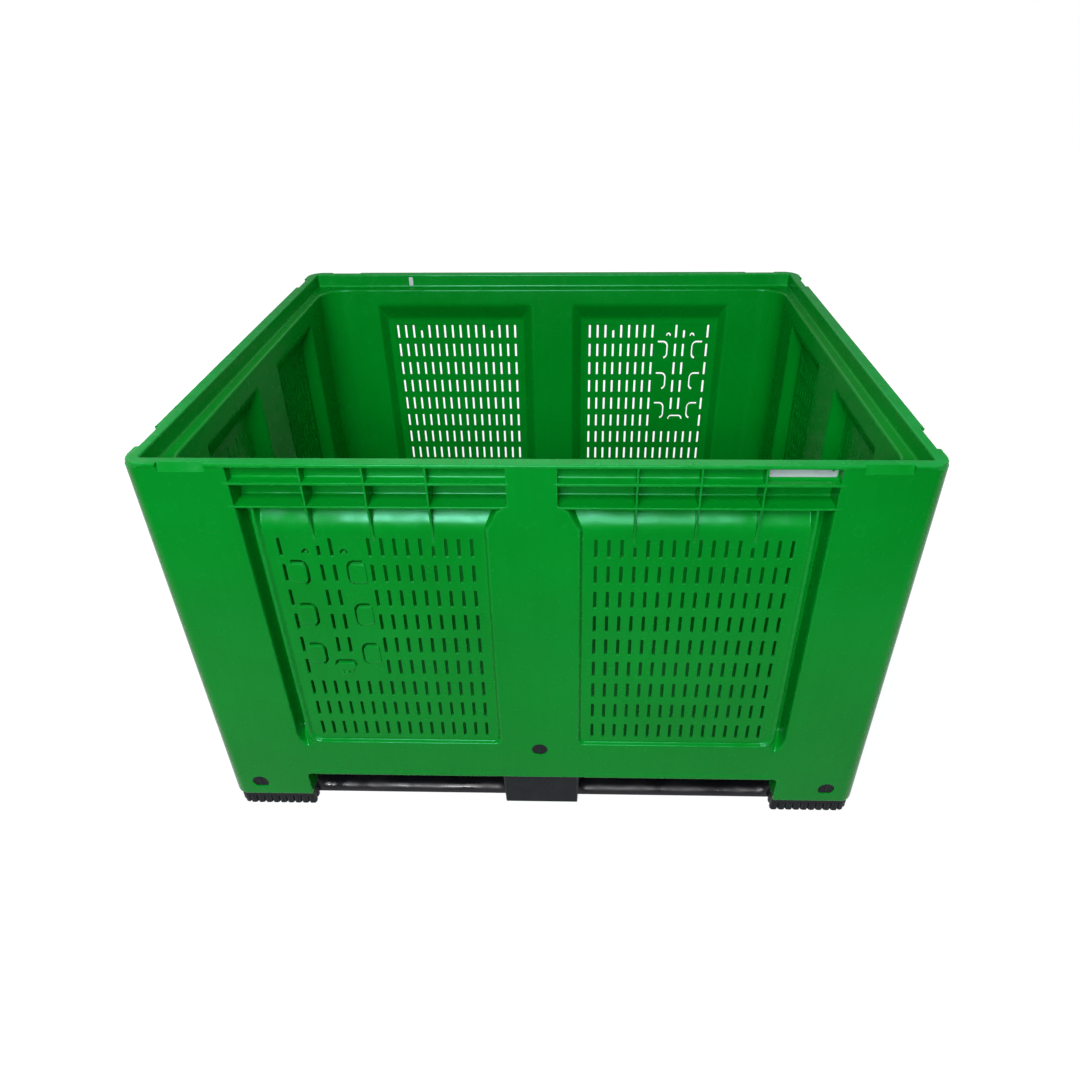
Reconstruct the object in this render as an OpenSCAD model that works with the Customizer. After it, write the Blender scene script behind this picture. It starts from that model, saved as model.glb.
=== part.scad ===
// Vented fruit bin: a green moulded box that stands on three black runners.
// Millimetres, Z up. The origin is on the ground under the middle of the bin.
// The front wall faces -Y. Every wall is drawn in its own coordinates:
// u runs along the wall, to the right as seen from outside, t runs inwards
// from the edge of the rim, and z runs up from the ground.

/* [Bin] */
// Outer size along X
bin_w = 1200; // [1150:10:1400]
// Outer size along Y
bin_d = 1000; // [960:10:1200]
// Height of the rim above the ground
bin_h = 760; // [700:10:860]
// Radius of the upright outer corners
corner_r = 45; // [30:1:60]
// Radius of the upright inner corners
inner_r = 60; // [45:1:80]
// Thickness of the moulded sheet
sheet = 5; // [4:0.5:6]
// Depth of a hollow wall, from the edge of the rim to its inner face
wall_t = 42; // [40:1:50]

/* [Rim and headers] */
// How far the rim and the header ribs stand out from the skirts and corner posts
lip_proud = 4; // [3:0.5:6]
// Width of the top of the rim
rim_w = 22; // [20:1:26]
// Thickness of the rim lip
lip_h = 6; // [5:0.5:8]
// Depth of the stacking ledge below the top of the rim
ledge_drop = 30; // [24:1:40]
// Length of a strap notch in the lip
notch_l = 70; // [50:1:80]
// Distance from a corner to its strap notch
notch_gap = 56; // [48:1:60]
// Depth of a strap notch
notch_t = 5; // [3:0.5:6]
// Depth of the lower header rib below the top of the rim
rib_drop = 70; // [60:1:80]
// Thickness of a header rib
rib_t = 4; // [3:0.5:5]
// Depth of the foot of the hood below the top of the rim
hood_drop = 128; // [120:1:140]
// Spacing of the upright header ribs on the front and rear walls
rib_pitch_long = 92; // [80:1:95]
// Spacing of the upright header ribs on the side walls
rib_pitch_short = 98; // [80:1:105]

/* [Posts and skirts] */
// Width of a corner post along the front or rear wall
corner_w_long = 154; // [150:1:165]
// Width of a corner post along a side wall
corner_w_short = 178; // [165:1:185]
// Width of the stepped edge beside a corner post
step_w = 30; // [26:1:34]
// Width of a mid post in the front or rear wall
post_w_long = 150; // [140:1:160]
// Width of a mid post in a side wall
post_w_short = 170; // [160:1:180]
// How far a mid post stands out from the skirts beside it
post_proud = 1.5; // [0:0.5:2]
// Width of the neck of a mid post between two headers
neck_w = 76; // [70:1:84]
// Depth of the vent panels from the edge of the rim
panel_in = 16; // [14:1:18]
// Height of the lower edge of the vent panels
sill_z = 182; // [175:1:190]
// Height of the lower edge of the skirts
skirt_z = 91; // [88:1:94]
// Width of a leg
leg_w = 150; // [146:1:150]
// Height of the lower end of the legs
leg_z = 31; // [26:1:36]
// Radius of the lower outer corner of a panel recess
recess_r = 26; // [20:1:30]

/* [Slots] */
// Width of a slot
slot_w = 5; // [4:0.5:6]
// Height of a slot
slot_h = 34; // [28:1:36]
// Spacing of the slot columns
slot_pitch_u = 20; // [18:1:24]
// Spacing of the slot rows
slot_pitch_z = 50; // [46:1:52]
// Height of the first row of slots above the sill
row_rise = 21; // [19:1:24]
// Height of a slot that is cut short under a gusset
short_slot_h = 20; // [14:1:22]

/* [Card holder] */
// Width of a tab
tab_w = 32; // [28:1:34]
// Height of a tab
tab_h = 42; // [36:1:44]
// Corner radius of the free side of a tab
tab_r = 11; // [8:1:14]
// How far a tab stands out from its panel
tab_proud = 4; // [3:0.5:5]
// Gap round the free side of a tab
tab_gap = 4; // [3:0.5:5]
// Width of the latch
latch_w = 44; // [38:1:46]
// Height of the latch
latch_h = 28; // [26:1:30]
// Diameter of a detent hole
detent_d = 13; // [10:1:14]

/* [Floor] */
// Height of the top of the floor
floor_z = 150; // [145:1:155]
// Height of the lower edge of the ribs under the floor
floor_rib_z = 100; // [100:1:110]
// Ribs under the floor along each direction
floor_ribs = 8; // [4:2:12]

/* [Runners] */
// Width of a plank
plank_w = 100; // [90:1:110]
// Thickness of a plank
plank_h = 22; // [18:1:26]
// Length of a middle foot along its wall
foot_w = 140; // [130:1:144]
// Depth of a middle foot from the edge of the rim to its face
foot_in = 17; // [14:1:20]
// Reach of a middle foot from the edge of the rim
foot_reach = 129; // [125:1:140]
// Spacing of the teeth round a shoe
tooth_pitch = 14.6; // [12:0.2:18]
// Height of the teeth
tooth_h = 19; // [14:1:20]
// Depth of the gaps between the teeth
tooth_t = 14; // [8:1:16]
// Height of the clips in the mid posts
mid_clip_z = 167; // [160:1:172]
// Height of the clips in the legs
leg_clip_z = 66; // [62:1:70]
// Distance from a corner to the clip in its leg
leg_clip_u = 59; // [56:1:70]
// Diameter of the clip holes
clip_hole_d = 27; // [24:1:30]
// Wall of the hollow feet
foot_wall = 8; // [6:1:10]

/* [Plates] */
// Height of the white plate
plate_h = 18; // [14:1:20]
// Thickness of the white plate and of the tag
plate_t = 1; // [0.8:0.2:2]
// Width of the tag on the rear rim
tag_w = 10; // [8:1:14]
// Distance of the tag from the middle of the rear rim
tag_u = 347; // [300:1:360]

/* [Hidden] */
$fn = 48;

// Walls by number, turned a quarter each time from the front
front = 0;
right = 1;
rear = 2;
left = 3;

// Overrun of a cut past the face that it opens
over = 1;
// Room between a runner and the box round it
fit_gap = 2;
// Room between a clip and the edge of its hole
clip_gap = 1;

// Share of the height of the hood that the taper of a mid post takes
neck_share = 0.76;

// Heights that follow from the rim
lip_z = bin_h - lip_h;
ledge_z = bin_h - ledge_drop;
shelf_z = ledge_z - sheet;
rib_z = bin_h - rib_drop;
hood_z = bin_h - hood_drop;
neck_low_z = rib_z - (rib_z - hood_z) * neck_share;
neck_high_z = rib_z - rib_t;

// Depths that follow from the wall
band_t = rim_w - sheet;
post_in = lip_proud + sheet;
mid_face = lip_proud - post_proud;
back_t = wall_t - sheet;
panel_back = panel_in + sheet;
bead_t = (lip_proud + panel_in) / 2;

// The hood is an arc that leaves the panel plane without a break
hood_rise = rib_z - hood_z;
hood_in = back_t - panel_in;
hood_r = (hood_in * hood_in + hood_rise * hood_rise) / (2 * hood_in);

// Shares of the stepped edge at which its bead begins and ends
step_shares = [0.27, 0.53];
// Share of the round corner of a recess that is cut off where it runs out
recess_tip_share = 0.25;
// Share of the stepped edge where its inner face starts to slope
slope_share = 0.53;
// Width of the slope on the inner edges of a mid post
post_slope = panel_in + lip_proud + rib_t;
// Height of the slope from skirt to panel
sill_slope = panel_in - lip_proud;

// Least distance from the edge of a panel to the middle of a slot
slot_margin = 14;
slot_rows = floor((hood_z - sill_z) / slot_pitch_z);

// Places of the card holder in slot pitches: columns from the outer side, rows from the top
tab_cols = [1.1, 5.75];
tab_rows = [0.9, 2.62, 4.33];
latch_col = 3.35;
latch_row = 5.05;
detent_cols = [1.95, 4.95];
detent_row = 0.15;
// Slots that the card holder takes up, counted the same way
card_cols = [1, 2, 5, 6];
latch_cols = [3, 4];
card_rows = 6;
// Room for a card behind a tab, and the width of the web that carries the tab
card_gap = 1;
tab_web = 6;
// Share of the latch that is free at its upper edge, and its corner radius there
latch_free_share = 0.3;
latch_r = 6;
// Slots that a gusset cuts short, counted from both ends of the top row
gusset_col = 3;

// Clips and the lugs that they hold
clip_head_t = 6;
clip_in = lip_proud + fit_gap;
clip_shank_r = 8;
clip_shank_l = 16;
clip_slit = 3;
clip_flat_share = 0.5;
lug_in = clip_in + clip_head_t;
lug_back = back_t - fit_gap;
lug_top = 24;
leg_lug_w = 56;
mid_lug_w = 100;

// Feet
shoe_in = lip_proud + clip_gap;
foot_edge_r = 8;
foot_top_z = floor_rib_z;
rib_groove_t = 5;

// Colours
green = [0.02, 0.62, 0.19];
black = [0.09, 0.09, 0.10];
white = [0.88, 0.89, 0.90];

// Length of wall k and its distance from the middle of the bin
function wall_l(k) = k % 2 == 0 ? bin_w : bin_d;
function wall_off(k) = k % 2 == 0 ? bin_d / 2 : bin_w / 2;
function corner_w(k) = k % 2 == 0 ? corner_w_long : corner_w_short;
function post_half(k) = (k % 2 == 0 ? post_w_long : post_w_short) / 2;
function post_edge(k) = wall_l(k) / 2 - corner_w(k);
function panel_edge(k) = post_edge(k) - step_w;
function panel_mid(k) = (post_half(k) + panel_edge(k)) / 2;
function slot_cols(k) =
    1 + floor((panel_edge(k) - post_half(k) - 2 * slot_margin) / slot_pitch_u);
// Distance of slot column c from the mid post, counted from the corner post
function slot_u(k, c) = panel_mid(k) + ((slot_cols(k) - 1) / 2 - c) * slot_pitch_u;
function slot_z(r) = sill_z + row_rise + r * slot_pitch_z;
// Height of a place counted in rows from the top row
function card_z(r) = slot_z(slot_rows - 1 - r);
// Places of the upright ribs of a header
function rib_us(k) = k % 2 == 0
    ? [for (i = [-1 : 1]) panel_mid(k) + i * rib_pitch_long]
    : [for (i = [-0.5 : 0.5]) panel_mid(k) + i * rib_pitch_short];

// Puts a drawing made in wall coordinates on wall k
module on_wall(k) {
    rotate([0, 0, 90 * k])
        translate([0, -wall_off(k), 0])
            children();
}

// Puts a drawing of the right half of a wall on half s of wall k
module on_half(k, s) {
    on_wall(k)
        mirror([s < 0 ? 1 : 0, 0, 0])
            children();
}

// Puts a drawing of the front right corner on any corner
module on_corner(sx, sy) {
    mirror([sx < 0 ? 1 : 0, 0, 0])
        mirror([0, sy > 0 ? 1 : 0, 0])
            children();
}

// A drawing in u and z, as a plate from depth t0 to depth t1
module plate_uz(t0, t1) {
    translate([0, t1, 0])
        rotate([90, 0, 0])
            linear_extrude(t1 - t0)
                children();
}

// A drawing in t and z, as a bar from u0 to u1
module bar_tz(u0, u1) {
    translate([u0, 0, 0])
        rotate([90, 0, 90])
            linear_extrude(u1 - u0)
                children();
}

// A drawing in plan, from height z0 to height z1
module rise(z0, z1) {
    translate([0, 0, z0])
        linear_extrude(z1 - z0)
            children();
}

// A rectangle given by its two corners
module box2d(a, b) {
    translate(a)
        square(b - a);
}

// The outline of the bin in plan, drawn in by t, with round corners
module plan(t, r) {
    w = bin_w - 2 * t;
    d = bin_d - 2 * t;
    square([w - 2 * r, d], center = true);
    square([w, d - 2 * r], center = true);
    for (sx = [-1, 1], sy = [-1, 1])
        translate([sx * (w / 2 - r), sy * (d / 2 - r)])
            circle(r);
}

// The band in plan between depths t0 and t1, outside the inner corner radius
module outer_band(t0, t1) {
    difference() {
        plan(t0, max(corner_r - t0, over));
        plan(t1, max(corner_r - t1, over));
    }
}

// The band in plan from depth t0 to the inner face of the walls, which has wide corners
module full_band(t0, t1) {
    difference() {
        plan(t0, max(corner_r - t0, over));
        plan(t1, inner_r);
    }
}

// The front right corner of the plan, w along the front and d along the side
module corner_window(w, d) {
    box2d([bin_w / 2 - w, -bin_d / 2 - over], [bin_w / 2 + over, d - bin_d / 2]);
}

// One wall's share of the plan, cut on the mitre at both corners
module mitre_window(k) {
    reach = bin_d / 4;
    rotate(90 * k)
        translate([0, -wall_off(k)])
            polygon([
                [-wall_l(k) / 2, 0], [wall_l(k) / 2, 0],
                [wall_l(k) / 2 - reach, reach], [reach - wall_l(k) / 2, reach]
            ]);
}

// A hollow length of a corner post with square ends
module corner_box(z0, z1, w, d) {
    rise(z0, z1)
        difference() {
            intersection() {
                full_band(lip_proud, wall_t);
                corner_window(w, d);
            }
            intersection() {
                full_band(post_in, back_t);
                corner_window(w - sheet, d - sheet);
            }
        }
}

// Outline of the stepped edge that joins a corner post to a vent panel, from u = 0 outwards.
// Its inner face starts to slope at the given share of its width.
module step_outline(share) {
    polygon([
        [0, lip_proud], [-step_w * step_shares[0], bead_t], [-step_w * step_shares[1], bead_t],
        [-step_w, panel_in], [-step_w, panel_back], [-step_w * share, wall_t], [0, wall_t]
    ]);
}

// The hollow in that stepped edge
module step_hollow(share) {
    end = min(step_w * share, step_w - sheet);
    polygon([
        [over, post_in], [0, post_in], [-step_w * step_shares[0], bead_t + sheet],
        [-step_w * step_shares[1], bead_t + sheet], [-end, panel_back],
        [sheet / 2 - end, back_t], [over, back_t]
    ]);
}

// Puts a drawing in u and t at the edge of the corner post on the front or the right wall
module at_post_edge(k) {
    rotate(90 * k)
        translate([0, -wall_off(k)])
            mirror([k == front ? 0 : 1, 0])
                translate([post_edge(k), 0])
                    children();
}

// A length of a corner post with stepped edges
module corner_steps(z0, z1, share) {
    rise(z0, z1)
        difference() {
            union() {
                intersection() {
                    full_band(lip_proud, wall_t);
                    corner_window(corner_w_long, corner_w_short);
                }
                for (k = [front, right])
                    at_post_edge(k)
                        step_outline(share);
            }
            intersection() {
                full_band(post_in, back_t);
                corner_window(corner_w_long, corner_w_short);
            }
            for (k = [front, right])
                at_post_edge(k)
                    step_hollow(share);
        }
}

// The round lower corner of the recess of a vent panel, on the front or the right wall:
// the stepped edge turned about the middle of the corner, cut off at the sill and before its tip
module recess_corner(k) {
    mid_u = panel_edge(k) - recess_r;
    far = recess_r + 2 * step_w;
    rotate([0, 0, 90 * k])
        translate([0, -wall_off(k), 0])
            mirror([k == front ? 0 : 1, 0, 0])
                intersection() {
                    translate([mid_u, 0, sill_z + recess_r])
                        rotate([-90, 0, 0])
                            rotate_extrude(angle = 90)
                                polygon([
                                    [recess_r, panel_in],
                                    [recess_r + step_w * (1 - step_shares[1]), bead_t],
                                    [recess_r + step_w * (1 - step_shares[0]), bead_t],
                                    [recess_r + step_w, lip_proud],
                                    [far, lip_proud], [far, panel_in]
                                ]);
                    plate_uz(0, panel_back)
                        box2d([mid_u + recess_r * recess_tip_share, sill_z],
                              [post_edge(k) + sheet, sill_z + recess_r]);
                }
}

// Outline of a clip hole drawn in by d, flat below where it is in a leg
module clip_outline(d, flat) {
    r = clip_hole_d / 2;
    intersection() {
        circle(r - d);
        box2d([-r, flat ? d - r * clip_flat_share : -r], [r, r]);
    }
}

// A clip hole at u and z
module clip_hole(u, z, flat) {
    translate([u, z])
        clip_outline(0, flat);
}

// A hollow corner post with its leg
module corner_post(sx, sy) {
    color(green)
        on_corner(sx, sy)
            difference() {
                union() {
                    corner_box(leg_z, skirt_z, leg_w, leg_w);
                    corner_box(skirt_z, sill_z, corner_w_long, corner_w_short);
                    corner_steps(sill_z, hood_z, slope_share);
                    corner_steps(hood_z, neck_high_z, 1);
                    corner_box(neck_high_z, shelf_z, corner_w_long, corner_w_short);
                    rise(shelf_z, lip_z)
                        difference() {
                            intersection() {
                                outer_band(lip_proud, band_t);
                                corner_window(corner_w_long, corner_w_short);
                            }
                            intersection() {
                                outer_band(post_in, band_t);
                                corner_window(corner_w_long - sheet, corner_w_short - sheet);
                            }
                        }
                    for (k = [front, right])
                        recess_corner(k);
                }
                on_wall(front)
                    plate_uz(-over, post_in + over)
                        clip_hole(bin_w / 2 - leg_clip_u, leg_clip_z, true);
            }
}

// Face of a mid post, drawn in by d from its edges, between two heights
module post_face(k, d, z0, z1) {
    half = post_half(k) - d;
    neck = neck_w / 2 - d;
    polygon([
        [-half, z0], [half, z0], [half, neck_low_z], [neck, neck_high_z],
        [neck, z1], [-neck, z1], [-neck, neck_high_z], [-half, neck_low_z]
    ]);
}

// Plan of a mid post with sloped inner edges, drawn in by d
module post_plan(k, d) {
    half = post_half(k) - d;
    polygon([
        [-half, mid_face + d], [half, mid_face + d], [half, panel_back],
        [half - post_slope, wall_t - d], [post_slope - half, wall_t - d], [-half, panel_back]
    ]);
}

// A hollow mid post
module mid_post(k) {
    half = post_half(k);
    color(green)
        on_wall(k)
            difference() {
                union() {
                    rise(skirt_z, sill_z)
                        box2d([-half, mid_face], [half, wall_t]);
                    rise(sill_z, neck_low_z)
                        post_plan(k, 0);
                    plate_uz(mid_face, wall_t)
                        post_face(k, 0, neck_low_z - sheet, shelf_z);
                    plate_uz(mid_face, band_t)
                        box2d([-neck_w / 2, shelf_z - over], [neck_w / 2, lip_z]);
                }
                rise(skirt_z - over, sill_z)
                    box2d([sheet - half, post_in], [half - sheet, back_t]);
                rise(sill_z - over, neck_low_z - sheet)
                    post_plan(k, sheet);
                plate_uz(post_in, back_t)
                    post_face(k, sheet, neck_low_z - sheet - over, shelf_z - over);
                plate_uz(post_in, band_t + over)
                    box2d([sheet - neck_w / 2, ledge_z], [neck_w / 2 - sheet, lip_z + over]);
                plate_uz(-over, post_in + over)
                    clip_hole(0, mid_clip_z, false);
            }
}

// Outline of one slot with round ends, whose lower end is at z
module slot(u, z, h) {
    box2d([u - slot_w / 2, z + slot_w / 2], [u + slot_w / 2, z + h - slot_w / 2]);
    for (e = [slot_w / 2, h - slot_w / 2])
        translate([u, z + e])
            circle(d = slot_w, $fn = 24);
}

// All slots of a vent panel, with or without those that the card holder takes up
module slots(k, card) {
    last = slot_cols(k) - 1;
    for (r = [0 : slot_rows - 1], c = [0 : last]) {
        by_tab = card && r >= slot_rows - card_rows && len(search(c, card_cols)) > 0;
        by_latch = card && r == slot_rows - card_rows && len(search(c, latch_cols)) > 0;
        cut_short = r == slot_rows - 1 && (c == gusset_col || c == last - gusset_col);
        if (!by_tab && !by_latch)
            slot(slot_u(k, c), slot_z(r) - slot_h / 2, cut_short ? short_slot_h : slot_h);
    }
}

// A tab of the card holder, fixed on its left edge, drawn out by d on its free sides
module tab(d) {
    r = tab_r + d;
    w = tab_w / 2 + d;
    h = tab_h / 2 + d;
    box2d([-tab_w / 2, -h], [w - r, h]);
    box2d([-tab_w / 2, r - h], [w, h - r]);
    for (s = [-1, 1])
        translate([w - r, s * (h - r)])
            circle(r);
}

// The latch below the tabs, round below and flat above, drawn out by d all round
module latch(d) {
    half = latch_w / 2 + d;
    top = latch_h / 2 + d;
    r = latch_r + d;
    intersection() {
        translate([0, (latch_w - latch_h) / 2])
            circle(half);
        box2d([-half, -top], [half, 0]);
    }
    box2d([-half, 0], [half, top - r]);
    box2d([r - half, 0], [half - r, top]);
    for (x = [r - half, half - r])
        translate([x, top - r])
            circle(r);
}

// Puts a tab drawing at both columns and all rows, each fixed on its outer side
module at_tabs(k) {
    for (i = [0, 1], row = tab_rows)
        translate([slot_u(k, tab_cols[i]), card_z(row)])
            mirror([i == 0 ? 1 : 0, 0])
                children();
}

// A vent panel with its slots
module vent(k, s) {
    card = k % 2 == 0 && s < 0;
    u0 = post_half(k);
    u1 = panel_edge(k);
    latch_at = [slot_u(k, latch_col), card_z(latch_row)];
    color(green)
        on_half(k, s) {
            plate_uz(panel_in, panel_back)
                difference() {
                    box2d([u0, sill_z], [u1, hood_z]);
                    slots(k, card);
                    if (card) {
                        at_tabs(k)
                            tab(tab_gap);
                        translate(latch_at)
                            difference() {
                                latch(tab_gap);
                                latch(0);
                                box2d([-latch_w, -latch_w], [latch_w, latch_h * (0.5 - latch_free_share)]);
                            }
                        for (c = detent_cols)
                            translate([slot_u(k, c), card_z(detent_row)])
                                intersection() {
                                    circle(d = detent_d);
                                    translate([0, detent_d / 2])
                                        square(detent_d, center = true);
                                }
                    }
                }
            if (card) {
                plate_uz(panel_in - tab_proud, panel_in - card_gap)
                    at_tabs(k)
                        tab(0);
                plate_uz(panel_in - card_gap, panel_back)
                    at_tabs(k)
                        box2d([-tab_w, -tab_h] / 2, [tab_web - tab_w / 2, tab_h / 2]);
                plate_uz(panel_in - tab_proud, panel_in)
                    translate(latch_at)
                        latch(0);
            }
        }
}

// Section of the hood: a curved sheet from the panel up to the back of the header
module hood_section() {
    intersection() {
        translate([panel_in + hood_r, hood_z])
            difference() {
                circle(hood_r, $fn = 96);
                circle(hood_r - sheet, $fn = 96);
            }
        box2d([panel_in, hood_z], [wall_t, rib_z]);
    }
}

// Everything in front of the curve of the hood, down to its foot
module hood_front() {
    difference() {
        polygon([[0, rib_z], [panel_in, hood_z], [wall_t, hood_z], [wall_t, rib_z]]);
        translate([panel_in + hood_r, hood_z])
            circle(hood_r - sheet / 2, $fn = 96);
    }
}

// Section of an upright header rib, with its gusset below
module rib_section() {
    box2d([0, shelf_z], [band_t, lip_z]);
    box2d([0, rib_z - rib_t], [back_t, shelf_z]);
    hood_front();
}

// A ribbed header with its hood
module header(k, s) {
    u0 = neck_w / 2;
    u1 = post_edge(k);
    color(green)
        on_half(k, s)
            difference() {
                union() {
                    bar_tz(u0, u1) {
                        box2d([0, shelf_z], [band_t, ledge_z]);
                        box2d([back_t, rib_z - rib_t], [wall_t, shelf_z]);
                        box2d([0, rib_z - rib_t], [wall_t, rib_z]);
                    }
                    bar_tz(u0, panel_edge(k))
                        hood_section();
                    for (u = rib_us(k))
                        bar_tz(u - rib_t / 2, u + rib_t / 2)
                            rib_section();
                }
                plate_uz(-over, wall_t + over)
                    post_face(k, 0, sill_z, shelf_z);
            }
}

// Section of a skirt: an outer sheet, a sloped sill and an inner sheet
module skirt_section() {
    polygon([
        [lip_proud, skirt_z], [lip_proud, sill_z - sill_slope], [panel_in, sill_z],
        [panel_back, sill_z], [wall_t, sill_z - wall_t + panel_back],
        [wall_t, floor_z - sheet], [back_t, floor_z - sheet],
        [back_t, sill_z - wall_t + panel_back - sheet / 2],
        [panel_back - sheet / 2, sill_z - sheet], [panel_in + sheet / 2, sill_z - sheet],
        [post_in, sill_z - sill_slope - sheet / 2], [post_in, skirt_z]
    ]);
}

// A skirt below a vent panel
module skirt(k, s) {
    color(green)
        on_half(k, s)
            bar_tz(post_half(k), post_edge(k))
                skirt_section();
}

// One rail of the rim: lip, inner band and stacking ledge
module rim(k) {
    color(green)
        difference() {
            union() {
                rise(lip_z, bin_h)
                    intersection() {
                        outer_band(0, rim_w);
                        mitre_window(k);
                    }
                rise(shelf_z, lip_z)
                    intersection() {
                        outer_band(band_t, rim_w);
                        mitre_window(k);
                    }
                rise(shelf_z, ledge_z)
                    intersection() {
                        full_band(band_t, wall_t);
                        mitre_window(k);
                    }
            }
            for (s = [-1, 1])
                on_half(k, s)
                    plate_uz(-over, notch_t)
                        translate([wall_l(k) / 2 - notch_gap - notch_l, lip_z - over])
                            square([notch_l, lip_h + 2 * over]);
        }
}

// The floor deck with the ribs under it
module floor_deck() {
    inner_w = bin_w - 2 * wall_t;
    inner_d = bin_d - 2 * wall_t;
    color(green) {
        rise(floor_z - sheet, floor_z)
            plan(wall_t, inner_r);
        rise(floor_rib_z, floor_z - sheet)
            intersection() {
                plan(wall_t, inner_r);
                for (i = [0 : floor_ribs - 1]) {
                    share = (i + 0.5) / floor_ribs - 0.5;
                    translate([share * inner_w, 0])
                        square([rib_t, inner_d], center = true);
                    translate([0, share * inner_d])
                        square([inner_w, rib_t], center = true);
                }
            }
    }
}

// A rectangle in plan with round corners
module round_box2d(a, b, r) {
    box2d([a[0] + r, a[1]], [b[0] - r, b[1]]);
    box2d([a[0], a[1] + r], [b[0], b[1] - r]);
    for (x = [a[0] + r, b[0] - r], y = [a[1] + r, b[1] - r])
        translate([x, y])
            circle(r);
}

// Upright gaps between teeth along a straight run of length l, cut to depth d
module tooth_gaps(l, d) {
    n = floor(l / tooth_pitch);
    for (i = [0 : n - 1])
        translate([(i + 0.5 - n / 2) * tooth_pitch - tooth_pitch / 4, -over])
            square([tooth_pitch / 2, d + over]);
}

// The shoe, the hollow block and the lug under the front right corner
module corner_foot() {
    block_a = [bin_w / 2 - leg_w, wall_t + fit_gap - bin_d / 2];
    block_b = [bin_w / 2 - wall_t - fit_gap, leg_w - bin_d / 2];
    skin = foot_wall + rib_groove_t;
    rise(0, leg_z)
        intersection() {
            plan(shoe_in, corner_r);
            corner_window(leg_w, leg_w);
        }
    rise(leg_z - over, foot_top_z)
        difference() {
            round_box2d(block_a, block_b, foot_edge_r);
            translate([block_a[0], (block_a[1] + block_b[1]) / 2])
                rotate(-90)
                    tooth_gaps(block_b[1] - block_a[1] - 2 * foot_edge_r, rib_groove_t);
            translate([(block_a[0] + block_b[0]) / 2, block_b[1]])
                rotate(180)
                    tooth_gaps(block_b[0] - block_a[0] - 2 * foot_edge_r, rib_groove_t);
            box2d(block_a + [skin, foot_wall], block_b - [foot_wall, skin]);
        }
    on_wall(front)
        rise(leg_z - over, leg_clip_z + lug_top)
            translate([bin_w / 2 - leg_clip_u - leg_lug_w / 2, lug_in])
                square([leg_lug_w, lug_back - lug_in]);
}

// The gaps between the teeth of that shoe: along its four sides and round its corner
module shoe_gaps() {
    x0 = bin_w / 2 - leg_w;
    x1 = bin_w / 2 - shoe_in;
    y0 = shoe_in - bin_d / 2;
    y1 = leg_w - bin_d / 2;
    run = leg_w - shoe_in - corner_r;
    turn = 360 * tooth_pitch / (2 * PI * corner_r);
    rise(-over, tooth_h) {
        translate([x0 + run / 2, y0])
            tooth_gaps(run, tooth_t);
        translate([x1, y1 - run / 2])
            rotate(90)
                tooth_gaps(run, tooth_t);
        for (a = [turn / 2 : turn : 90])
            translate([x1 - corner_r, y0 + corner_r])
                rotate(a)
                    translate([0, -corner_r])
                        tooth_gaps(tooth_pitch, tooth_t);
        translate([x0, (y0 + y1) / 2])
            rotate(-90)
                tooth_gaps(run, rib_groove_t);
        translate([(x0 + x1) / 2, y1])
            rotate(180)
                tooth_gaps(run, rib_groove_t);
    }
}

// A hollow middle foot at the mid post of wall k, with the lug that stands in the post
module mid_foot(k) {
    back = wall_t + fit_gap;
    on_wall(k) {
        difference() {
            union() {
                rise(0, skirt_z)
                    round_box2d([-foot_w / 2, foot_in], [foot_w / 2, foot_reach], foot_edge_r);
                rise(skirt_z - over, foot_top_z)
                    round_box2d([-foot_w / 2, back], [foot_w / 2, foot_reach], foot_edge_r);
            }
            rise(plank_h, foot_top_z + over)
                box2d([foot_wall - foot_w / 2, back + foot_wall],
                      [foot_w / 2 - foot_wall, foot_reach - foot_wall]);
        }
        rise(skirt_z - over, mid_clip_z + lug_top)
            translate([-mid_lug_w / 2, lug_in])
                square([mid_lug_w, lug_back - lug_in]);
    }
}

// Holes for the shanks of the clips in a lug on wall k
module shank_hole(k, u, z) {
    on_wall(k)
        translate([u, lug_in + clip_shank_l, z])
            rotate([90, 0, 0])
                cylinder(r = clip_shank_r, h = clip_shank_l + over);
}

// The runner under the front wall, or under the rear wall
module edge_runner(k) {
    inner = bin_w / 2 - leg_w;
    color(black)
        rotate([0, 0, 90 * k])
            difference() {
                union() {
                    for (sx = [-1, 1])
                        on_corner(sx, -1)
                            corner_foot();
                    mid_foot(front);
                    on_wall(front)
                        rise(0, plank_h)
                            box2d([-inner - over, foot_reach - plank_w], [inner + over, foot_reach]);
                }
                for (sx = [-1, 1]) {
                    on_corner(sx, -1)
                        shoe_gaps();
                    shank_hole(front, sx * (bin_w / 2 - leg_clip_u), leg_clip_z);
                }
                shank_hole(front, 0, mid_clip_z);
            }
}

// The runner across the middle, with its ends under the side walls
module runner_middle() {
    reach = foot_reach - foot_in;
    inner = bin_w / 2 - foot_reach;
    color(black)
        difference() {
            union() {
                mid_foot(right);
                mid_foot(left);
                difference() {
                    rise(0, foot_top_z)
                        round_box2d([-foot_w / 2, -reach / 2], [foot_w / 2, reach / 2], foot_edge_r);
                    rise(plank_h, foot_top_z + over)
                        square([foot_w, reach] - 2 * [foot_wall, foot_wall], center = true);
                }
                rise(0, plank_h)
                    square([2 * (inner + over), plank_w], center = true);
            }
            shank_hole(right, 0, mid_clip_z);
            shank_hole(left, 0, mid_clip_z);
        }
}

// One clip: a slit head that shows in its hole, and a shank in the lug
module clip(k, u, z, flat) {
    on_wall(k)
        translate([u, lug_in, z])
            rotate([90, 0, 0]) {
                difference() {
                    linear_extrude(clip_head_t)
                        clip_outline(clip_gap, flat);
                    translate([-clip_slit / 2, -clip_hole_d, clip_head_t / 2])
                        cube([clip_slit, 2 * clip_hole_d, clip_head_t]);
                }
                translate([0, 0, -clip_shank_l])
                    cylinder(r = clip_shank_r, h = clip_shank_l);
            }
}

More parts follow.
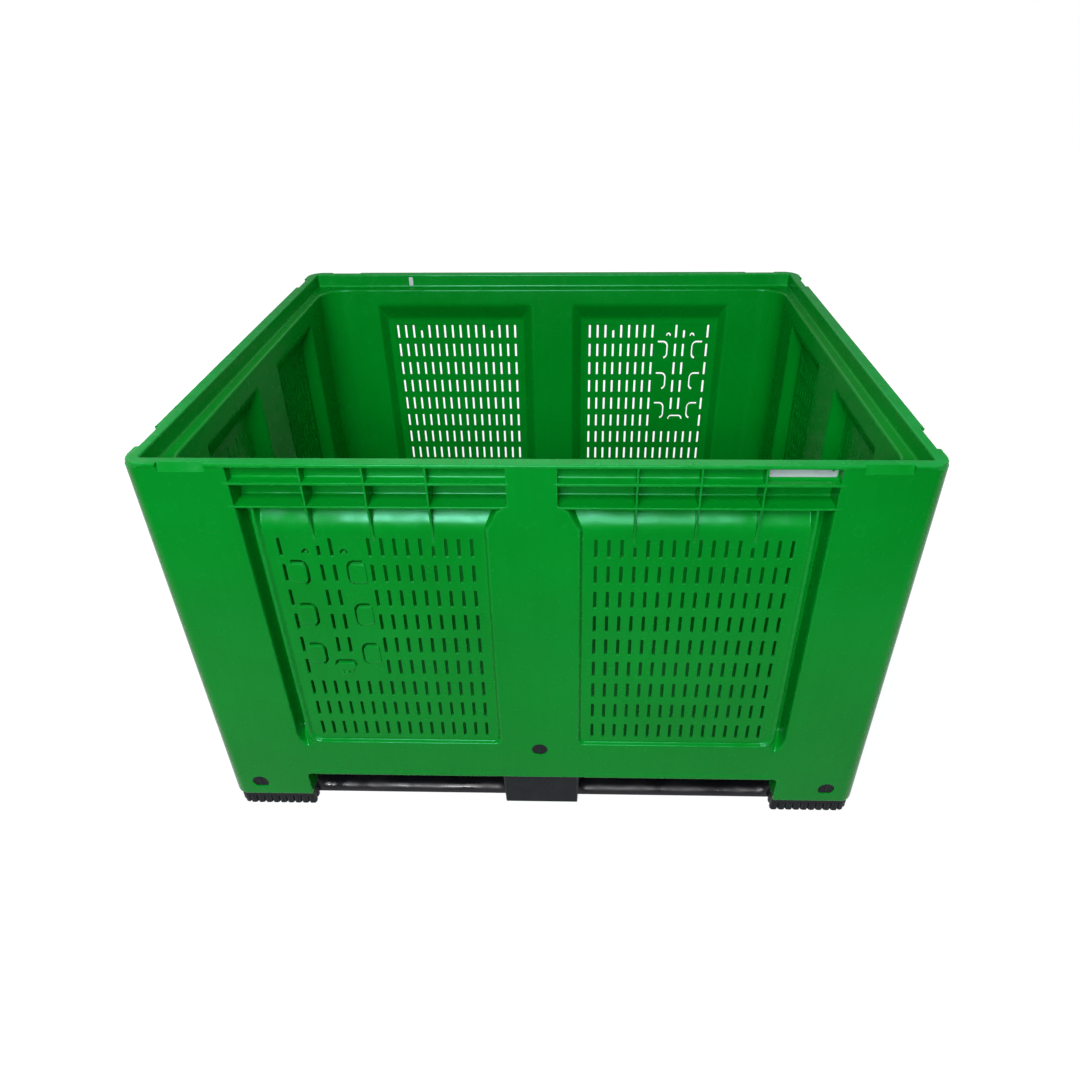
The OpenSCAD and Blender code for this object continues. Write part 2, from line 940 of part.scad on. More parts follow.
// All clips of the three runners
module runner_clips() {
    color(black) {
        for (k = [front, right, rear, left])
            clip(k, 0, mid_clip_z, false);
        for (k = [front, rear], s = [-1, 1])
            clip(k, s * (bin_w / 2 - leg_clip_u), leg_clip_z, true);
    }
}

// The white plate in the last header cell of the front wall
module label_plate() {
    u0 = rib_us(front)[2] + rib_t / 2;
    color(white)
        on_wall(front)
            plate_uz(band_t - plate_t, band_t)
                box2d([u0 + rib_t, ledge_z + rib_t],
                      [post_edge(front) - rib_t, ledge_z + rib_t + plate_h]);
}

// The tag on the inner band of the rear rim
module rim_tag() {
    color(white)
        on_wall(rear)
            plate_uz(rim_w, rim_w + plate_t)
                box2d([tag_u - tag_w / 2, ledge_z + rib_t], [tag_u + tag_w / 2, lip_z]);
}

corner_post(-1, -1);  // corner_post_front_left
corner_post(1, -1);  // corner_post_front_right
corner_post(-1, 1);  // corner_post_rear_left
corner_post(1, 1);  // corner_post_rear_right
mid_post(front);  // mid_post_front
mid_post(right);  // mid_post_right
mid_post(rear);  // mid_post_rear
mid_post(left);  // mid_post_left
vent(front, -1);  // vent_front_left
vent(front, 1);  // vent_front_right
vent(right, -1);  // vent_right_front
vent(right, 1);  // vent_right_rear
vent(rear, -1);  // vent_rear_right
vent(rear, 1);  // vent_rear_left
vent(left, -1);  // vent_left_rear
vent(left, 1);  // vent_left_front
header(front, -1);  // header_front_left
header(front, 1);  // header_front_right
header(right, -1);  // header_right_front
header(right, 1);  // header_right_rear
header(rear, -1);  // header_rear_right
header(rear, 1);  // header_rear_left
header(left, -1);  // header_left_rear
header(left, 1);  // header_left_front
skirt(front, -1);  // skirt_front_left
skirt(front, 1);  // skirt_front_right
skirt(right, -1);  // skirt_right_front
skirt(right, 1);  // skirt_right_rear
skirt(rear, -1);  // skirt_rear_right
skirt(rear, 1);  // skirt_rear_left
skirt(left, -1);  // skirt_left_rear
skirt(left, 1);  // skirt_left_front
rim(front);  // rim_front
rim(right);  // rim_right
rim(rear);  // rim_rear
rim(left);  // rim_left
floor_deck();
edge_runner(front);  // runner_front
runner_middle();
edge_runner(rear);  // runner_rear
runner_clips();
label_plate();
rim_tag();
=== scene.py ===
"""Looks of the vented fruit bin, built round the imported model.

Each wall and each corner is one closed skin with drafted ribs, soft steps and rounded edges, and
the slotted panels are set into it. Lengths are in millimetres until a mesh is made. Wall
coordinates are those of the part's source: u along the wall, to the right as seen from outside,
t inwards from the edge of the rim, and z up.
"""
import math

import bmesh
import bpy
import numpy as np
from mathutils import Matrix, Vector, geometry


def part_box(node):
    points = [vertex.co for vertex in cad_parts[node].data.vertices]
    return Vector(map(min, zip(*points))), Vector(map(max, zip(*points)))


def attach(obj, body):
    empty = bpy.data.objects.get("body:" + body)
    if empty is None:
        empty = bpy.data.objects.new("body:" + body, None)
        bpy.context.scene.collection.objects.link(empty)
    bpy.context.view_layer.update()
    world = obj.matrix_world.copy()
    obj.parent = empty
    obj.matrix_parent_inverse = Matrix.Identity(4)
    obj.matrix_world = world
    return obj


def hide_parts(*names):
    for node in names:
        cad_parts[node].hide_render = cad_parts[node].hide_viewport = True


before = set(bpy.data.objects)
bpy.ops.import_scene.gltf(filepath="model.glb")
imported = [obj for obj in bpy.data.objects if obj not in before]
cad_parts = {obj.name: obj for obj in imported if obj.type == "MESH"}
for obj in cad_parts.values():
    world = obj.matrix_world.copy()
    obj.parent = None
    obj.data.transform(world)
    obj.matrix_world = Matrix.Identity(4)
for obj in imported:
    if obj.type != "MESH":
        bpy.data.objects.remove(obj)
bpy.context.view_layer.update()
scene = bpy.context.scene
join = np.concatenate

MM = 0.001
EIGHTH_TURN = math.pi / 4
FRONT, RIGHT, REAR, LEFT = range(4)

# Sizes of the box
BIN_W, BIN_D, BIN_H = 1200, 1000, 760
# Corner radii in plan for the columns of the outer and the inner skin
OUTER_R, INNER_R = 45, 102
# Corner radii of the posts, the lip and the rim's inner edge
POST_R, LIP_R, BRIM_R = 27, 34, 28
SHEET, WALL_T = 5, 42
LIP_PROUD, MID_FACE = 1.2, 0.8
RIM_W, RIM_FLAT, LIP_Z, LEDGE_Z, SHELF_Z = 22, 19, 754, 730, 725
SHELF_MID = (SHELF_Z + LEDGE_Z) / 2
RIB_Z, HOOD_Z, GUSSET_Z = 688, 637, 620
# Half thickness of a rib, and of the shelf between header cells
RIB_HALF, SHELF_HALF = 2, 2.5
# Where a rib sinks into the posts, and how deep
RIB_START, RIB_END, RIB_SUNK = (6, 2), 7, 0.1
# Gap between header cells and corner post, and the heights and depths of a cell's fillet
CELL_END, FILLET_Z, FILLET_T = 1.5, (0.1, 0.6, 1.6, 3.2), (3, 1.6, 0.6, 0)
# Depths of the header cells, and one behind every skin
BAND_T, BACK_T, AWAY = 17, 37, 50
PANEL_IN, PANEL_BACK, GROOVE_T = 10, 15, 34
HOOD_R, HOOD_DEEP = 60, 31.5
SILL_Z, SKIRT_Z, LEG_Z = 182, 91, 31
FLOOR_Z, HOLLOW_Z = 150, 140
NECK_HALF, NECK_WIDE, NECK_LOW, NECK_HIGH, NECK_R = 38, 57, 646, 684, 3
STEP_W, RECESS_R, MID_RECESS_R, SEAM = 30, 20, 8, 8
NOTCH_L, NOTCH_GAP, NOTCH_T = 70, 56, 6.5
# Heights of a notch's foot, first step and top, and the depth of that step
NOTCH_Z, NOTCH_STEP = (746.5, 747.5, 758.2), 2.2
# The raised edge of a skirt, and its ends at the mid post and the leg
HEM_Z, HEM_T, HEM_START, HEM_END = 103, 0.7, (6, 7.5), (14, 12)
LEG_W, LEG_R, LEG_SOFT, LEG_FACE_Z = 155, 7, 2.2, 36
# How far a panel leans out at its foot, and the height of its lowest slots
LEAN, FIRST_ROW = 2.6, 212.5
HOLE_R, HOLE_DEEP, MID_HOLE_Z = 14.3, 8, 167
LEG_HOLE_R, LEG_HOLE_Z, LEG_HOLE_U = 15.2, 66, 59
SLOT_W, SLOT_H, SHORT_H, SHORT_COL, SLOT_MARGIN = 5, 34, 20, 3, 28
SLOT_ROUND, SLOT_ROUND_IN = 0.7, 0.5
PITCH_U, PITCH_Z, ROWS, REAR_LIFT = 20, 49.64, 9, 5
# A vent panel's edges, in from the mid post and the stepped edge, and its two heights
VENT_IN, VENT_OUT, VENT_LOW, VENT_HIGH = 5, 15, 184.8, 633
# Half size of the flat round a mid post's hole, and its lower edge
HOLE_FLAT, HOLE_LOW = 18, 149
# Slopes round the alcove behind a panel: at the mid post, the corner, the top and the sill
ALCOVE_W, ALCOVE_R, ALCOVE_Z, ALCOVE_BLEND = (24, 16, 42, 21), (4, 4, 7, 2.5), 648, 0.12


class Wall:
    """Sizes of a wall, by its length."""

    def __init__(self, length, off, post_half, corner_w, ribs):
        self.half = length / 2
        self.off = off
        self.post_half = post_half
        self.post_edge = self.half - corner_w
        self.panel_edge = self.post_edge - STEP_W
        self.panel_mid = (post_half + self.panel_edge) / 2
        self.ribs = [self.panel_mid + r for r in ribs]
        self.vent = (post_half + VENT_IN, self.panel_edge - VENT_OUT)
        self.cols = 1 + int((self.panel_edge - post_half - SLOT_MARGIN) // PITCH_U)
        n1 = self.half - NOTCH_GAP
        n0 = n1 - NOTCH_L
        self.notch = (n0 - 0.4, n0 + 0.6, n1 - 0.6, n1 + 0.4)
        self.seam = self.post_edge + SEAM
        self.leg = self.half - LEG_W

    def slot_u(self, col):
        return self.panel_mid + ((self.cols - 1) / 2 - col) * PITCH_U


LONG = Wall(BIN_W, BIN_D / 2, 75, 154, (-92, 0, 92))
SHORT = Wall(BIN_D, BIN_W / 2, 85, 178, (-49, 49))


def wall_of(k):
    return LONG if k % 2 == 0 else SHORT


def ramp(x, w, r):
    """0 to 1 over the width w, with both ends rounded by r."""
    def area(v):
        return np.where(v <= 0, 0, np.where(v >= w, v - w / 2, v * v / (2 * w)))
    return (area(x + r) - area(x - r)) / (2 * r)


def profile(x, points, r):
    """A line through points, with every corner rounded by r."""
    y = points[0][1]
    for (xa, ya), (xb, yb) in zip(points, points[1:]):
        y = y + (yb - ya) * ramp(x - xa, xb - xa, r)
    return y


def smooth_max(a, b, k):
    h = np.clip(0.5 + 0.5 * (a - b) / k, 0, 1)
    return b + (a - b) * h + k * h * (1 - h)


# A rounded edge and the drafted side below it: distance outwards, and depth there
EDGE_X = (-1.0, -0.7, -0.4, -0.25, 0.1)
EDGE_T = (0, 0.12, 0.5, 1.4, 45)


def edge(x):
    return np.interp(x, EDGE_X, EDGE_T)


def rib(x, half):
    return edge(np.abs(x) - half)


def taper(w, z):
    """Half width of a mid post at height z, and the cosine of its slope."""
    run = (w.post_half - NECK_WIDE) / (NECK_HIGH - NECK_LOW)
    sides = [(NECK_LOW, w.post_half), (NECK_HIGH, NECK_WIDE), (RIB_Z + RIB_HALF, NECK_HALF)]
    b = profile(z, sides, NECK_R)
    slope = run * ramp(z - NECK_LOW + 1, 2, NECK_R)
    return b, 1 / np.sqrt(1 + slope * slope)


# A groove runs out this much faster than its corner turns
FADE_RATE = 1.7


def smooth(x):
    return x * x * (3 - 2 * x)


def corner_polar(d1, d2, r):
    """Distance from a corner of radius r, and the share of the turn."""
    pa, pc = np.maximum(d1 + r, 0), np.maximum(d2 + r, 0)
    return np.hypot(pa, pc) - r, np.arctan2(pc, pa) / (math.pi / 2)


def corner_mix(d1, d2, first, second, r):
    """Blends two edge profiles round the corner between them."""
    rho, phi = corner_polar(d1, d2, r)
    share = smooth(phi)
    return (1 - share) * profile(rho, *first) + share * profile(rho, *second)


def corner_fade(d1, d2, first, r):
    """An edge profile that runs out before the corner is turned."""
    rho, phi = corner_polar(d1, d2, r)
    return profile(rho, *first) * (1 - smooth(np.clip(phi * FADE_RATE, 0, 1)))


# Shares of a panel's depth across its edges, and their rounding. A bead stands by the groove
LEFT_EDGE = [(0, 1), (3.6, 0.1), (5.4, 0)], 0.9
RIGHT_EDGE = [(-0.4, 1), (0.4, 0.94), (3.8, 0.32), (4.8, 0.24), (8.6, 0.22), (23, 0)], 0.8
GROOVE = [(8, 0), (9, 0.3), (10.4, 0.6), (12, 0.85), (14.4, 1), (25, 1), (26.2, 0.3), (27.4, 0.1),
          (29.4, 0)], 0.8
SILL_EDGE = [(-2.8, 1), (-1.6, 0.92), (-0.2, 0.55), (0.6, 0.22), (1.2, 0.09), (2.2, 0.03), (6, 0)], 0.4


def lean(z):
    return LEAN * np.clip((VENT_HIGH - z) / (VENT_HIGH - VENT_LOW), 0, 1)


def hood(z):
    rise = np.clip(z - HOOD_Z, 0, HOOD_R)
    return np.minimum(PANEL_IN + HOOD_R - np.sqrt(HOOD_R ** 2 - rise ** 2), HOOD_DEEP)


def gusset(z):
    """Depth of a gusset's sloping edge."""
    return np.interp(z, (GUSSET_Z, RIB_Z - RIB_HALF), (PANEL_IN, 0))


def notch_share(w, u):
    """1 along a strap notch, and 0 beside it."""
    return np.interp(u, w.notch, (0, 1, 1, 0))


def outer_t(w, u, z):
    """Depth of the outer skin."""
    b, cosine = taper(w, z)
    face = profile(u - b, [(-1.5, MID_FACE), (0.5, LIP_PROUD)], 0.8)
    low = SILL_Z - z
    flat = np.where(
        u < w.panel_mid,
        corner_mix((b - u) * cosine, low, LEFT_EDGE, SILL_EDGE, MID_RECESS_R),
        corner_mix(u - w.panel_edge, low, RIGHT_EDGE, SILL_EDGE, RECESS_R))
    deep = hood(np.minimum(z, RIB_Z)) - lean(z)
    below = face + (deep - face) * flat
    well = corner_fade(u - w.panel_edge, low, GROOVE, RECESS_R)
    below = below + np.maximum(GROOVE_T - below, 0) * well
    # Header cells: a deep lower row and a shallow upper row, filleted at the foot
    upper = z > SHELF_MID
    foot = z - np.where(upper, LEDGE_Z, RIB_Z + RIB_HALF)
    cell = np.where(upper, BAND_T, BACK_T) - np.interp(foot, FILLET_Z, FILLET_T)
    side = np.minimum(edge(u - b), edge(w.post_edge - CELL_END - u))
    header = np.minimum(cell, face + side)
    t = np.where(z < RIB_Z, below, header)
    # Ribs along the header fade into the posts at both ends
    ends = [b[0] - x for x in RIB_START] + [w.post_edge, w.post_edge + RIB_END]
    fade = np.interp(u, ends, (MID_FACE + RIB_SUNK, 0, 0, LIP_PROUD + RIB_SUNK))
    t = np.minimum(t, fade + rib(z - RIB_Z, RIB_HALF))
    t = np.minimum(t, fade + rib(z - SHELF_MID, SHELF_HALF))
    front = gusset(z) + np.where(z < VENT_HIGH - 1, AWAY, 0)
    for r in w.ribs:
        t = np.minimum(t, front + rib(u - r, RIB_HALF))
    t = np.minimum(t, edge(LIP_Z - z))
    # Strap notches in the lip
    slant = np.interp(z, NOTCH_Z, (0, NOTCH_STEP, NOTCH_T))
    t = t + np.maximum(slant - t, 0) * notch_share(w, u)
    # A faint raised edge along the foot of the skirt
    ends = [b[0] + x for x in HEM_START] + [w.leg - x for x in HEM_END]
    return t - HEM_T * np.interp(u, ends, (0, 1, 1, 0)) * ramp(HEM_Z - z, 0.8, 0.4)


def inner_t(w, u, z):
    """Depth of the inner skin: an alcove behind each vent panel."""
    inwards = (w.post_half - u, u - w.panel_edge, z - ALCOVE_Z, SILL_Z - z)
    sides = [profile(d, [(0, 0), (width, 1)], r) for d, width, r in zip(inwards, ALCOVE_W, ALCOVE_R)]
    s = sides[0]
    for other in sides[1:]:
        s = smooth_max(s, other, ALCOVE_BLEND)
    back = PANEL_BACK - lean(z)
    return back + (WALL_T - back) * np.clip(s, 0, 1)


def place(k, s, u, t, z, radius):
    """Points in the bin's frame for wall coordinates on half s of wall k."""
    w = wall_of(k)
    u, t, z = np.broadcast_arrays(np.asarray(u, float), t, z)
    start = w.half - radius
    turn = np.maximum(u - start, 0) / radius
    x = s * np.where(u <= start, u, start + (radius - t) * np.sin(turn))
    y = np.where(u <= start, t, radius - (radius - t) * np.cos(turn)) - w.off
    for _ in range(k):
        x, y = -y, x
    return np.stack([x, y, z], -1)


# Columns at the edge of a mid post and at a leg, inwards from it
MID_COLUMNS = (30, 27, 24, 20, 14, 10.4, 9.4, 8.6, 7.6, 6, 4, 2, 1, 0.4, 0, -0.1, -1, -2.4)
LEG_COLUMNS = (*HEM_END, 7, 5, 3, 1.5, 0.5, 0)
# Distances from the corner: ends of a post's flat, and where the inner skin's columns spread
FLAT_FAR, FLAT_NEAR, SPREAD = 96, NOTCH_GAP + 6, 130
# How far beside a mid post its taper moves columns
TAPER_REACH = 30


def rib_lines(at, half):
    """Places of the rows or columns that draw a rib."""
    return [at + s * (half + x) for s in (-1, 1) for x in EDGE_X]


def leg_columns(w):
    return [w.leg - x for x in LEG_COLUMNS]


def half_columns(w):
    p, e = w.post_half, w.panel_edge
    us = [0, 9, HOLE_FLAT, 34] + [p - x for x in MID_COLUMNS] + list(w.vent)
    for r in w.ribs:
        us += rib_lines(r, RIB_HALF) + [r]
    us += [e - 12, e - 6, e - 3] + [e + 0.75 * i for i in range(-2, 38)]
    us += [w.post_edge - CELL_END - x for x in EDGE_X]
    us += [w.post_edge + x for x in (0, 4, SEAM)]
    us += [u for u in [p + x for x in HEM_START] + leg_columns(w) if u < w.seam]
    us = sorted(us)
    return [u for i, u in enumerate(us) if i == 0 or u - us[i - 1] > 0.05]


def corner_columns(w):
    start = w.half - OUTER_R
    us = [w.seam, *w.notch, *np.linspace(w.half - FLAT_FAR, w.half - FLAT_NEAR, 5)]
    us += list(np.linspace(start, start + OUTER_R * EIGHTH_TURN, 9))
    return sorted(us + [u for u in leg_columns(w) if u > w.seam + 0.5])


def warp(w, u, z):
    """Moves columns along with the taper of the mid post."""
    b, _ = taper(w, z)
    fixed = w.vent[0] + TAPER_REACH
    return np.interp(u, (0, w.post_half, fixed, w.half), (0, b[0], fixed, w.half))


def turn_u(w, u, radius):
    """The place of a column on a row whose corner has another radius."""
    a, b, start = w.half - NOTCH_GAP + 1, w.half - OUTER_R, w.half - radius
    ends = b + OUTER_R * EIGHTH_TURN, start + radius * EIGHTH_TURN
    return np.interp(u, (0, a, b, ends[0]), (0, a, start, ends[1]))


def inner_u(w, u):
    """The place of a column on the inner skin, whose corners are wider."""
    start = w.half - SPREAD
    ends = [w.half - r + r * EIGHTH_TURN for r in (OUTER_R, INNER_R)]
    return np.interp(u, (0, start, ends[0]), (0, start, ends[1]))


# Rows of the section, once round: up the outside, over the rim and down the inside
FACE_Z = 97
OUTER_Z = sorted(
    [FACE_Z, 101.4, 102, 102.6, 103.2, 103.8, 125, HOLE_LOW, 158, 164, 168, 171, 173.5, 175.5, 177, 178.4,
     VENT_LOW, 187, 189.5, 192, 195, 198, 202, 300, 450, VENT_HIGH]
    + [VENT_LOW - 0.45 * i for i in range(1, 14)]
    + [HOOD_Z + 2.6 * i for i in range(19)]
    + rib_lines(RIB_Z, RIB_HALF) + [RIB_Z + RIB_HALF + x for x in FILLET_Z[1:]]
    + rib_lines(SHELF_MID, SHELF_HALF) + [LEDGE_Z + x for x in FILLET_Z[1:]]
    + list(NOTCH_Z[:2]) + [LIP_Z - x for x in EDGE_X])
RIM_ROWS = [(0, NOTCH_Z[2])]
RIM_ROWS += [(t, BIN_H - d) for t, d in ((0.35, 0.8), (1, 0.2), (2.2, 0), (RIM_FLAT, 0), (RIM_W - 1.5, 0.3),
                                         (RIM_W - 0.4, 1.4), (RIM_W, 3))]
RIM_ROWS += [(RIM_W + t, LEDGE_Z + d) for t, d in ((0, 5), (0.3, 2.6), (1.2, 0.9), (2.8, 0.1))]
LEDGE_ROWS = [(WALL_T - t, LEDGE_Z - d) for t, d in ((4.5, 0.4), (2.2, 0.8), (0.7, 2.2), (0, 4.5))]
INNER_Z = [715, 704, 700, 697, 694, 691, 688, 684, 676, 666, 656, 650, 646, 643, 640, 637, 635,
           VENT_HIGH, 450, 300, VENT_LOW, 183, 181, 179, 176, 170, 164, 162, 160, 158, FLOOR_Z]
# Rounding of a skirt's lower edge: height above it, and depth behind the face
SKIRT_ROWS = [(0, 2.2), (0.3, 1), (1.2, 0.25), (2.5, 0)]


def skirt_edge(w, u):
    """Height of the lower edge, which curves into the leg, and the share of its rounding."""
    x = np.clip(u - (w.leg - LEG_R), 0, LEG_R)
    return SKIRT_Z - LEG_R + np.sqrt(LEG_R ** 2 - x * x), 1 - x / LEG_R


def section(k, s, us):
    """Grid of points, row by row, for columns us on half s of wall k."""
    w = wall_of(k)
    us = np.asarray(us, float)
    ui = inner_u(w, us)
    low, share = skirt_edge(w, us)
    up = turn_u(w, us, POST_R)
    rows = []

    def level(z):
        return np.full(len(us), float(z))

    def row(u, t, z, radius):
        rows.append(place(k, s, u, t, z, radius))

    face = outer_t(w, us, level(FACE_Z))
    for z in (HOLLOW_Z, low):
        row(up, face + SHEET, z, POST_R)
    for z, t in SKIRT_ROWS:
        row(up, face + t * share, low + z, POST_R)
    for z in OUTER_Z:
        radius = LIP_R if z > LIP_Z else POST_R
        uz = turn_u(w, warp(w, us, level(z)), radius)
        row(uz, outer_t(w, uz, level(z)), z, radius)
    top = warp(w, us, level(BIN_H))
    cut = NOTCH_T * notch_share(w, us)
    for t, z in RIM_ROWS:
        radius = LIP_R if t < RIM_W / 2 else BRIM_R
        row(turn_u(w, top, radius), t + cut * max(1 - t / RIM_FLAT, 0), z, radius)
    for t, z in LEDGE_ROWS:
        row(ui, t, z, INNER_R)
    for z in INNER_Z:
        row(ui, inner_t(w, ui, level(z)), z, INNER_R)
    row(ui, WALL_T, HOLLOW_Z, INNER_R)
    return np.stack(rows)


FIRST_OUTER = 2 + len(SKIRT_ROWS)
FIRST_INNER = FIRST_OUTER + len(OUTER_Z) + len(RIM_ROWS) + len(LEDGE_ROWS)


def outer_row(z):
    return FIRST_OUTER + OUTER_Z.index(z)


def inner_row(z):
    return FIRST_INNER + INNER_Z.index(z)


# Mark of the faces that close a piece at its seams
SEAM_LOOK = 9


class Shape:
    """Points and faces of one piece, in millimetres."""

    def __init__(self):
        self.points, self.faces, self.looks = [], [], []
        self.look = 0

    def add(self, points, faces):
        base = len(self.points)
        self.points += [tuple(p) for p in points]
        self.faces += [tuple(base + i for i in f) for f in faces]
        self.looks += [self.look] * len(faces)

    def grid(self, p, skip=lambda i, j: False):
        """A sheet of quads that closes over its rows, without the cells in skip."""
        rows, cols = p.shape[:2]
        faces = []
        for i in range(rows):
            for j in range(cols - 1):
                if not skip(i, j):
                    a, b = i * cols + j, ((i + 1) % rows) * cols + j
                    faces.append((a, a + 1, b + 1, b))
        self.add(p.reshape(-1, 3), faces)

    def polygon(self, points):
        """One face that closes the piece where it meets the next."""
        self.look = SEAM_LOOK
        self.add(points, [tuple(range(len(points)))])
        self.look = 0

    def rings(self, loops, caps=(), skip=()):
        """Bands between loops of equal counts, without the cells in skip. Loops in caps get a face."""
        n = len(loops[0])
        faces = [(i * n + j, i * n + (j + 1) % n, (i + 1) * n + (j + 1) % n, (i + 1) * n + j)
                 for i in range(len(loops) - 1) for j in range(n) if (i, j) not in skip]
        for cap in caps:
            first = range(len(loops))[cap] * n
            faces.append(tuple(range(first, first + n)))
        self.add(join(loops), faces)

    def prism(self, loop, levels, skip=()):
        """An upright solid on a plan; levels give heights and how far the plan grows."""
        rings = [np.column_stack([offset(loop, d), np.full(len(loop), float(z))]) for z, d in levels]
        self.rings(rings, (0, -1), skip)


def fill(loops):
    """Points and triangles inside an odd number of flat loops."""
    points, edges = [], []
    for loop in loops:
        base, n = len(points), len(loop)
        points += [Vector(p) for p in loop]
        edges += [(base + i, base + (i + 1) % n) for i in range(n)]
    out, _, faces, *_ = geometry.delaunay_2d_cdt(points, edges, [], 0, 1e-5)
    flat = np.array([tuple(p) for p in out])
    tri = np.array(faces)
    mid = flat[tri].mean(1)
    odd = np.zeros(len(tri), bool)
    for loop in loops:
        for (xa, ya), (xb, yb) in zip(loop, np.roll(loop, -1, 0)):
            if ya != yb:
                hit = (ya > mid[:, 1]) != (yb > mid[:, 1])
                odd ^= hit & (mid[:, 0] < (xb - xa) * (mid[:, 1] - ya) / (yb - ya) + xa)
    return flat, [tuple(f) for f in tri[odd]]


def outward(d):
    """Unit normals on the right of the steps d of a path."""
    return np.stack([d[:, 1], -d[:, 0]], 1) / np.linalg.norm(d, axis=1)[:, None]


def offset(loop, d):
    """A closed loop, counter-clockwise, moved outwards by d."""
    a = np.asarray(loop, float)
    n = outward(a - np.roll(a, 1, 0))
    m = n + outward(np.roll(a, -1, 0) - a)
    return a + d * m / np.maximum((m * n).sum(1), 0.5)[:, None]


def band(path, gap):
    """Outline of a strip along an open path; gap is its width sideways and up."""
    p = np.asarray(path, float)
    return join([p + np.array(gap) * outward(np.gradient(p, axis=0)), p[::-1]])


def arc(cx, cy, r, a0, a1, n):
    a = np.radians(np.linspace(a0, a1, n + 1))
    return np.stack([cx + r * np.cos(a), cy + r * np.sin(a)], 1)


def round_box(x0, y0, x1, y1, r, n=5):
    """Outline of a box with round corners, counter-clockwise."""
    return join([arc(x0 + r, y0 + r, r, 180, 270, n), arc(x1 - r, y0 + r, r, 270, 360, n),
                 arc(x1 - r, y1 - r, r, 0, 90, n), arc(x0 + r, y1 - r, r, 90, 180, n)])


def slot_outline(w, h, r=1.5):
    return round_box(-w / 2, -h / 2, w / 2, h / 2, r, 3)


# Card holder: tabs fixed on one side, a latch and two detents
TAB_W, TAB_H, TAB_R, TAB_LOW_R, TAB_TOP_R = 27, 37, 9, 6, 3
TAB_ROOT, TAB_GAP, TAB_PROUD = 4, (3.4, 6.2), 2.4
LATCH_W, LATCH_H, LATCH_LOW_R, LATCH_R = 32, 31, 9, 6
MARK_W, MARK_H, MARK_R, MARK_U, MARK_DOWN = 2.6, 8, 1.2, 4.6, 4
DETENT_R, DETENT_GAP = 3, (3, 5)
# Their places, in columns and rows of slots
TAB_COLS, TAB_ROWS = (1.07, 5.78), (0.99, 2.71, 4.41)
LATCH_COL, LATCH_ROW = 3.35, 5.1
DETENT_COLS, DETENT_ROW = (1.95, 4.95), 0.22
# Slots that give way to them
CARD_COLS, LATCH_COLS, CARD_ROWS = (1, 2, 5, 6), (3, 4), 6


def tab_loops():
    """A tab's free sides, from the lower right to the upper left, and its outline."""
    w, h, r, a, b = TAB_W / 2, TAB_H / 2, TAB_R, TAB_LOW_R, TAB_TOP_R
    upper = arc(w - r, h - r, r, 0, 90, 6)
    path = join([arc(w - r, r - h, r, -75, 0, 6), upper, [(TAB_ROOT - w, h)]])
    return path, join([arc(a - w, a - h, a, 180, 270, 4), arc(w - r, r - h, r, -90, 0, 6), upper,
                       arc(b - w, h - b, b, 90, 180, 3)])


def latch_loops():
    """The latch's free side, over its top, and its outline."""
    w, h, r, q = LATCH_W / 2, LATCH_H / 2, LATCH_R, LATCH_LOW_R
    path = join([arc(w - r, h - r, r, -10, 90, 5), arc(r - w, h - r, r, 90, 190, 5)])
    return path, join([arc(0, q - h, q, 205, 335, 10), path])


def moved(loop, u, z, flip=False):
    a = np.asarray(loop, float) * ((-1, 1) if flip else (1, 1))
    return (a[::-1] if flip else a) + (u, z)


def card_z(row):
    return FIRST_ROW + PITCH_Z * (ROWS - 1 - row)


def vent_loops(w, card):
    """Outlines of a vent panel's openings, and of the pads on it."""
    loops, pads = [], []
    for r in range(ROWS):
        for c in range(w.cols):
            up = r - (ROWS - CARD_ROWS)
            taken = card and (up >= 0 and c in CARD_COLS or up == 0 and c in LATCH_COLS)
            short = r == ROWS - 1 and c in (SHORT_COL, w.cols - 1 - SHORT_COL)
            if not taken:
                h = SHORT_H if short else SLOT_H
                z = FIRST_ROW + PITCH_Z * r - (SLOT_H - h) / 2
                loops.append(moved(slot_outline(SLOT_W, h), w.slot_u(c), z))
    if card:
        path, outline = tab_loops()
        for i, col in enumerate(TAB_COLS):
            for row in TAB_ROWS:
                at = (w.slot_u(col), card_z(row), i == 0)
                loops.append(moved(band(path, TAB_GAP), *at))
                pads.append((moved(outline, *at), []))
        path, outline = latch_loops()
        u, z = w.slot_u(LATCH_COL), card_z(LATCH_ROW)
        loops.append(moved(band(path, TAB_GAP), u, z))
        mark = slot_outline(MARK_W, MARK_H, MARK_R)
        marks = [moved(mark, u + x, z - MARK_DOWN) for x in (-MARK_U, MARK_U)]
        pads.append((moved(outline, u, z), marks))
        detent = band(arc(0, 0, DETENT_R, -20, 200, 10), DETENT_GAP)
        for col in DETENT_COLS:
            loops.append(moved(detent, w.slot_u(col), card_z(DETENT_ROW)))
    return loops, pads


def border(us, zs):
    """A closed loop along columns and rows, counter-clockwise."""
    return np.array([(u, zs[0]) for u in us] + [(us[-1], z) for z in zs[1:]]
                    + [(u, zs[-1]) for u in us[-2::-1]] + [(us[0], z) for z in zs[-2:0:-1]])


# Section of a gusset's lower end: places across it and depths behind its edge
TAIL_HALF = ((0.8, 0), (1.4, 0.25), (1.9, 0.9), (2.3, AWAY))
TAIL = [(-x, d) for x, d in TAIL_HALF[::-1]] + list(TAIL_HALF)


def pressed(shape, put, loop, steps, caps=()):
    """Rings at steps of growth and depth, where put places them. Gives them back, flat."""
    rings = [offset(loop, d) for d, _ in steps]
    shape.rings([put(r, t) for r, (_, t) in zip(rings, steps)], caps)
    return rings


def on_wall(k, s):
    """Places flat points at a depth on the plain faces of a wall."""
    def put(flat, t):
        return place(k, s, flat[:, 0], t, flat[:, 1], POST_R)
    return put


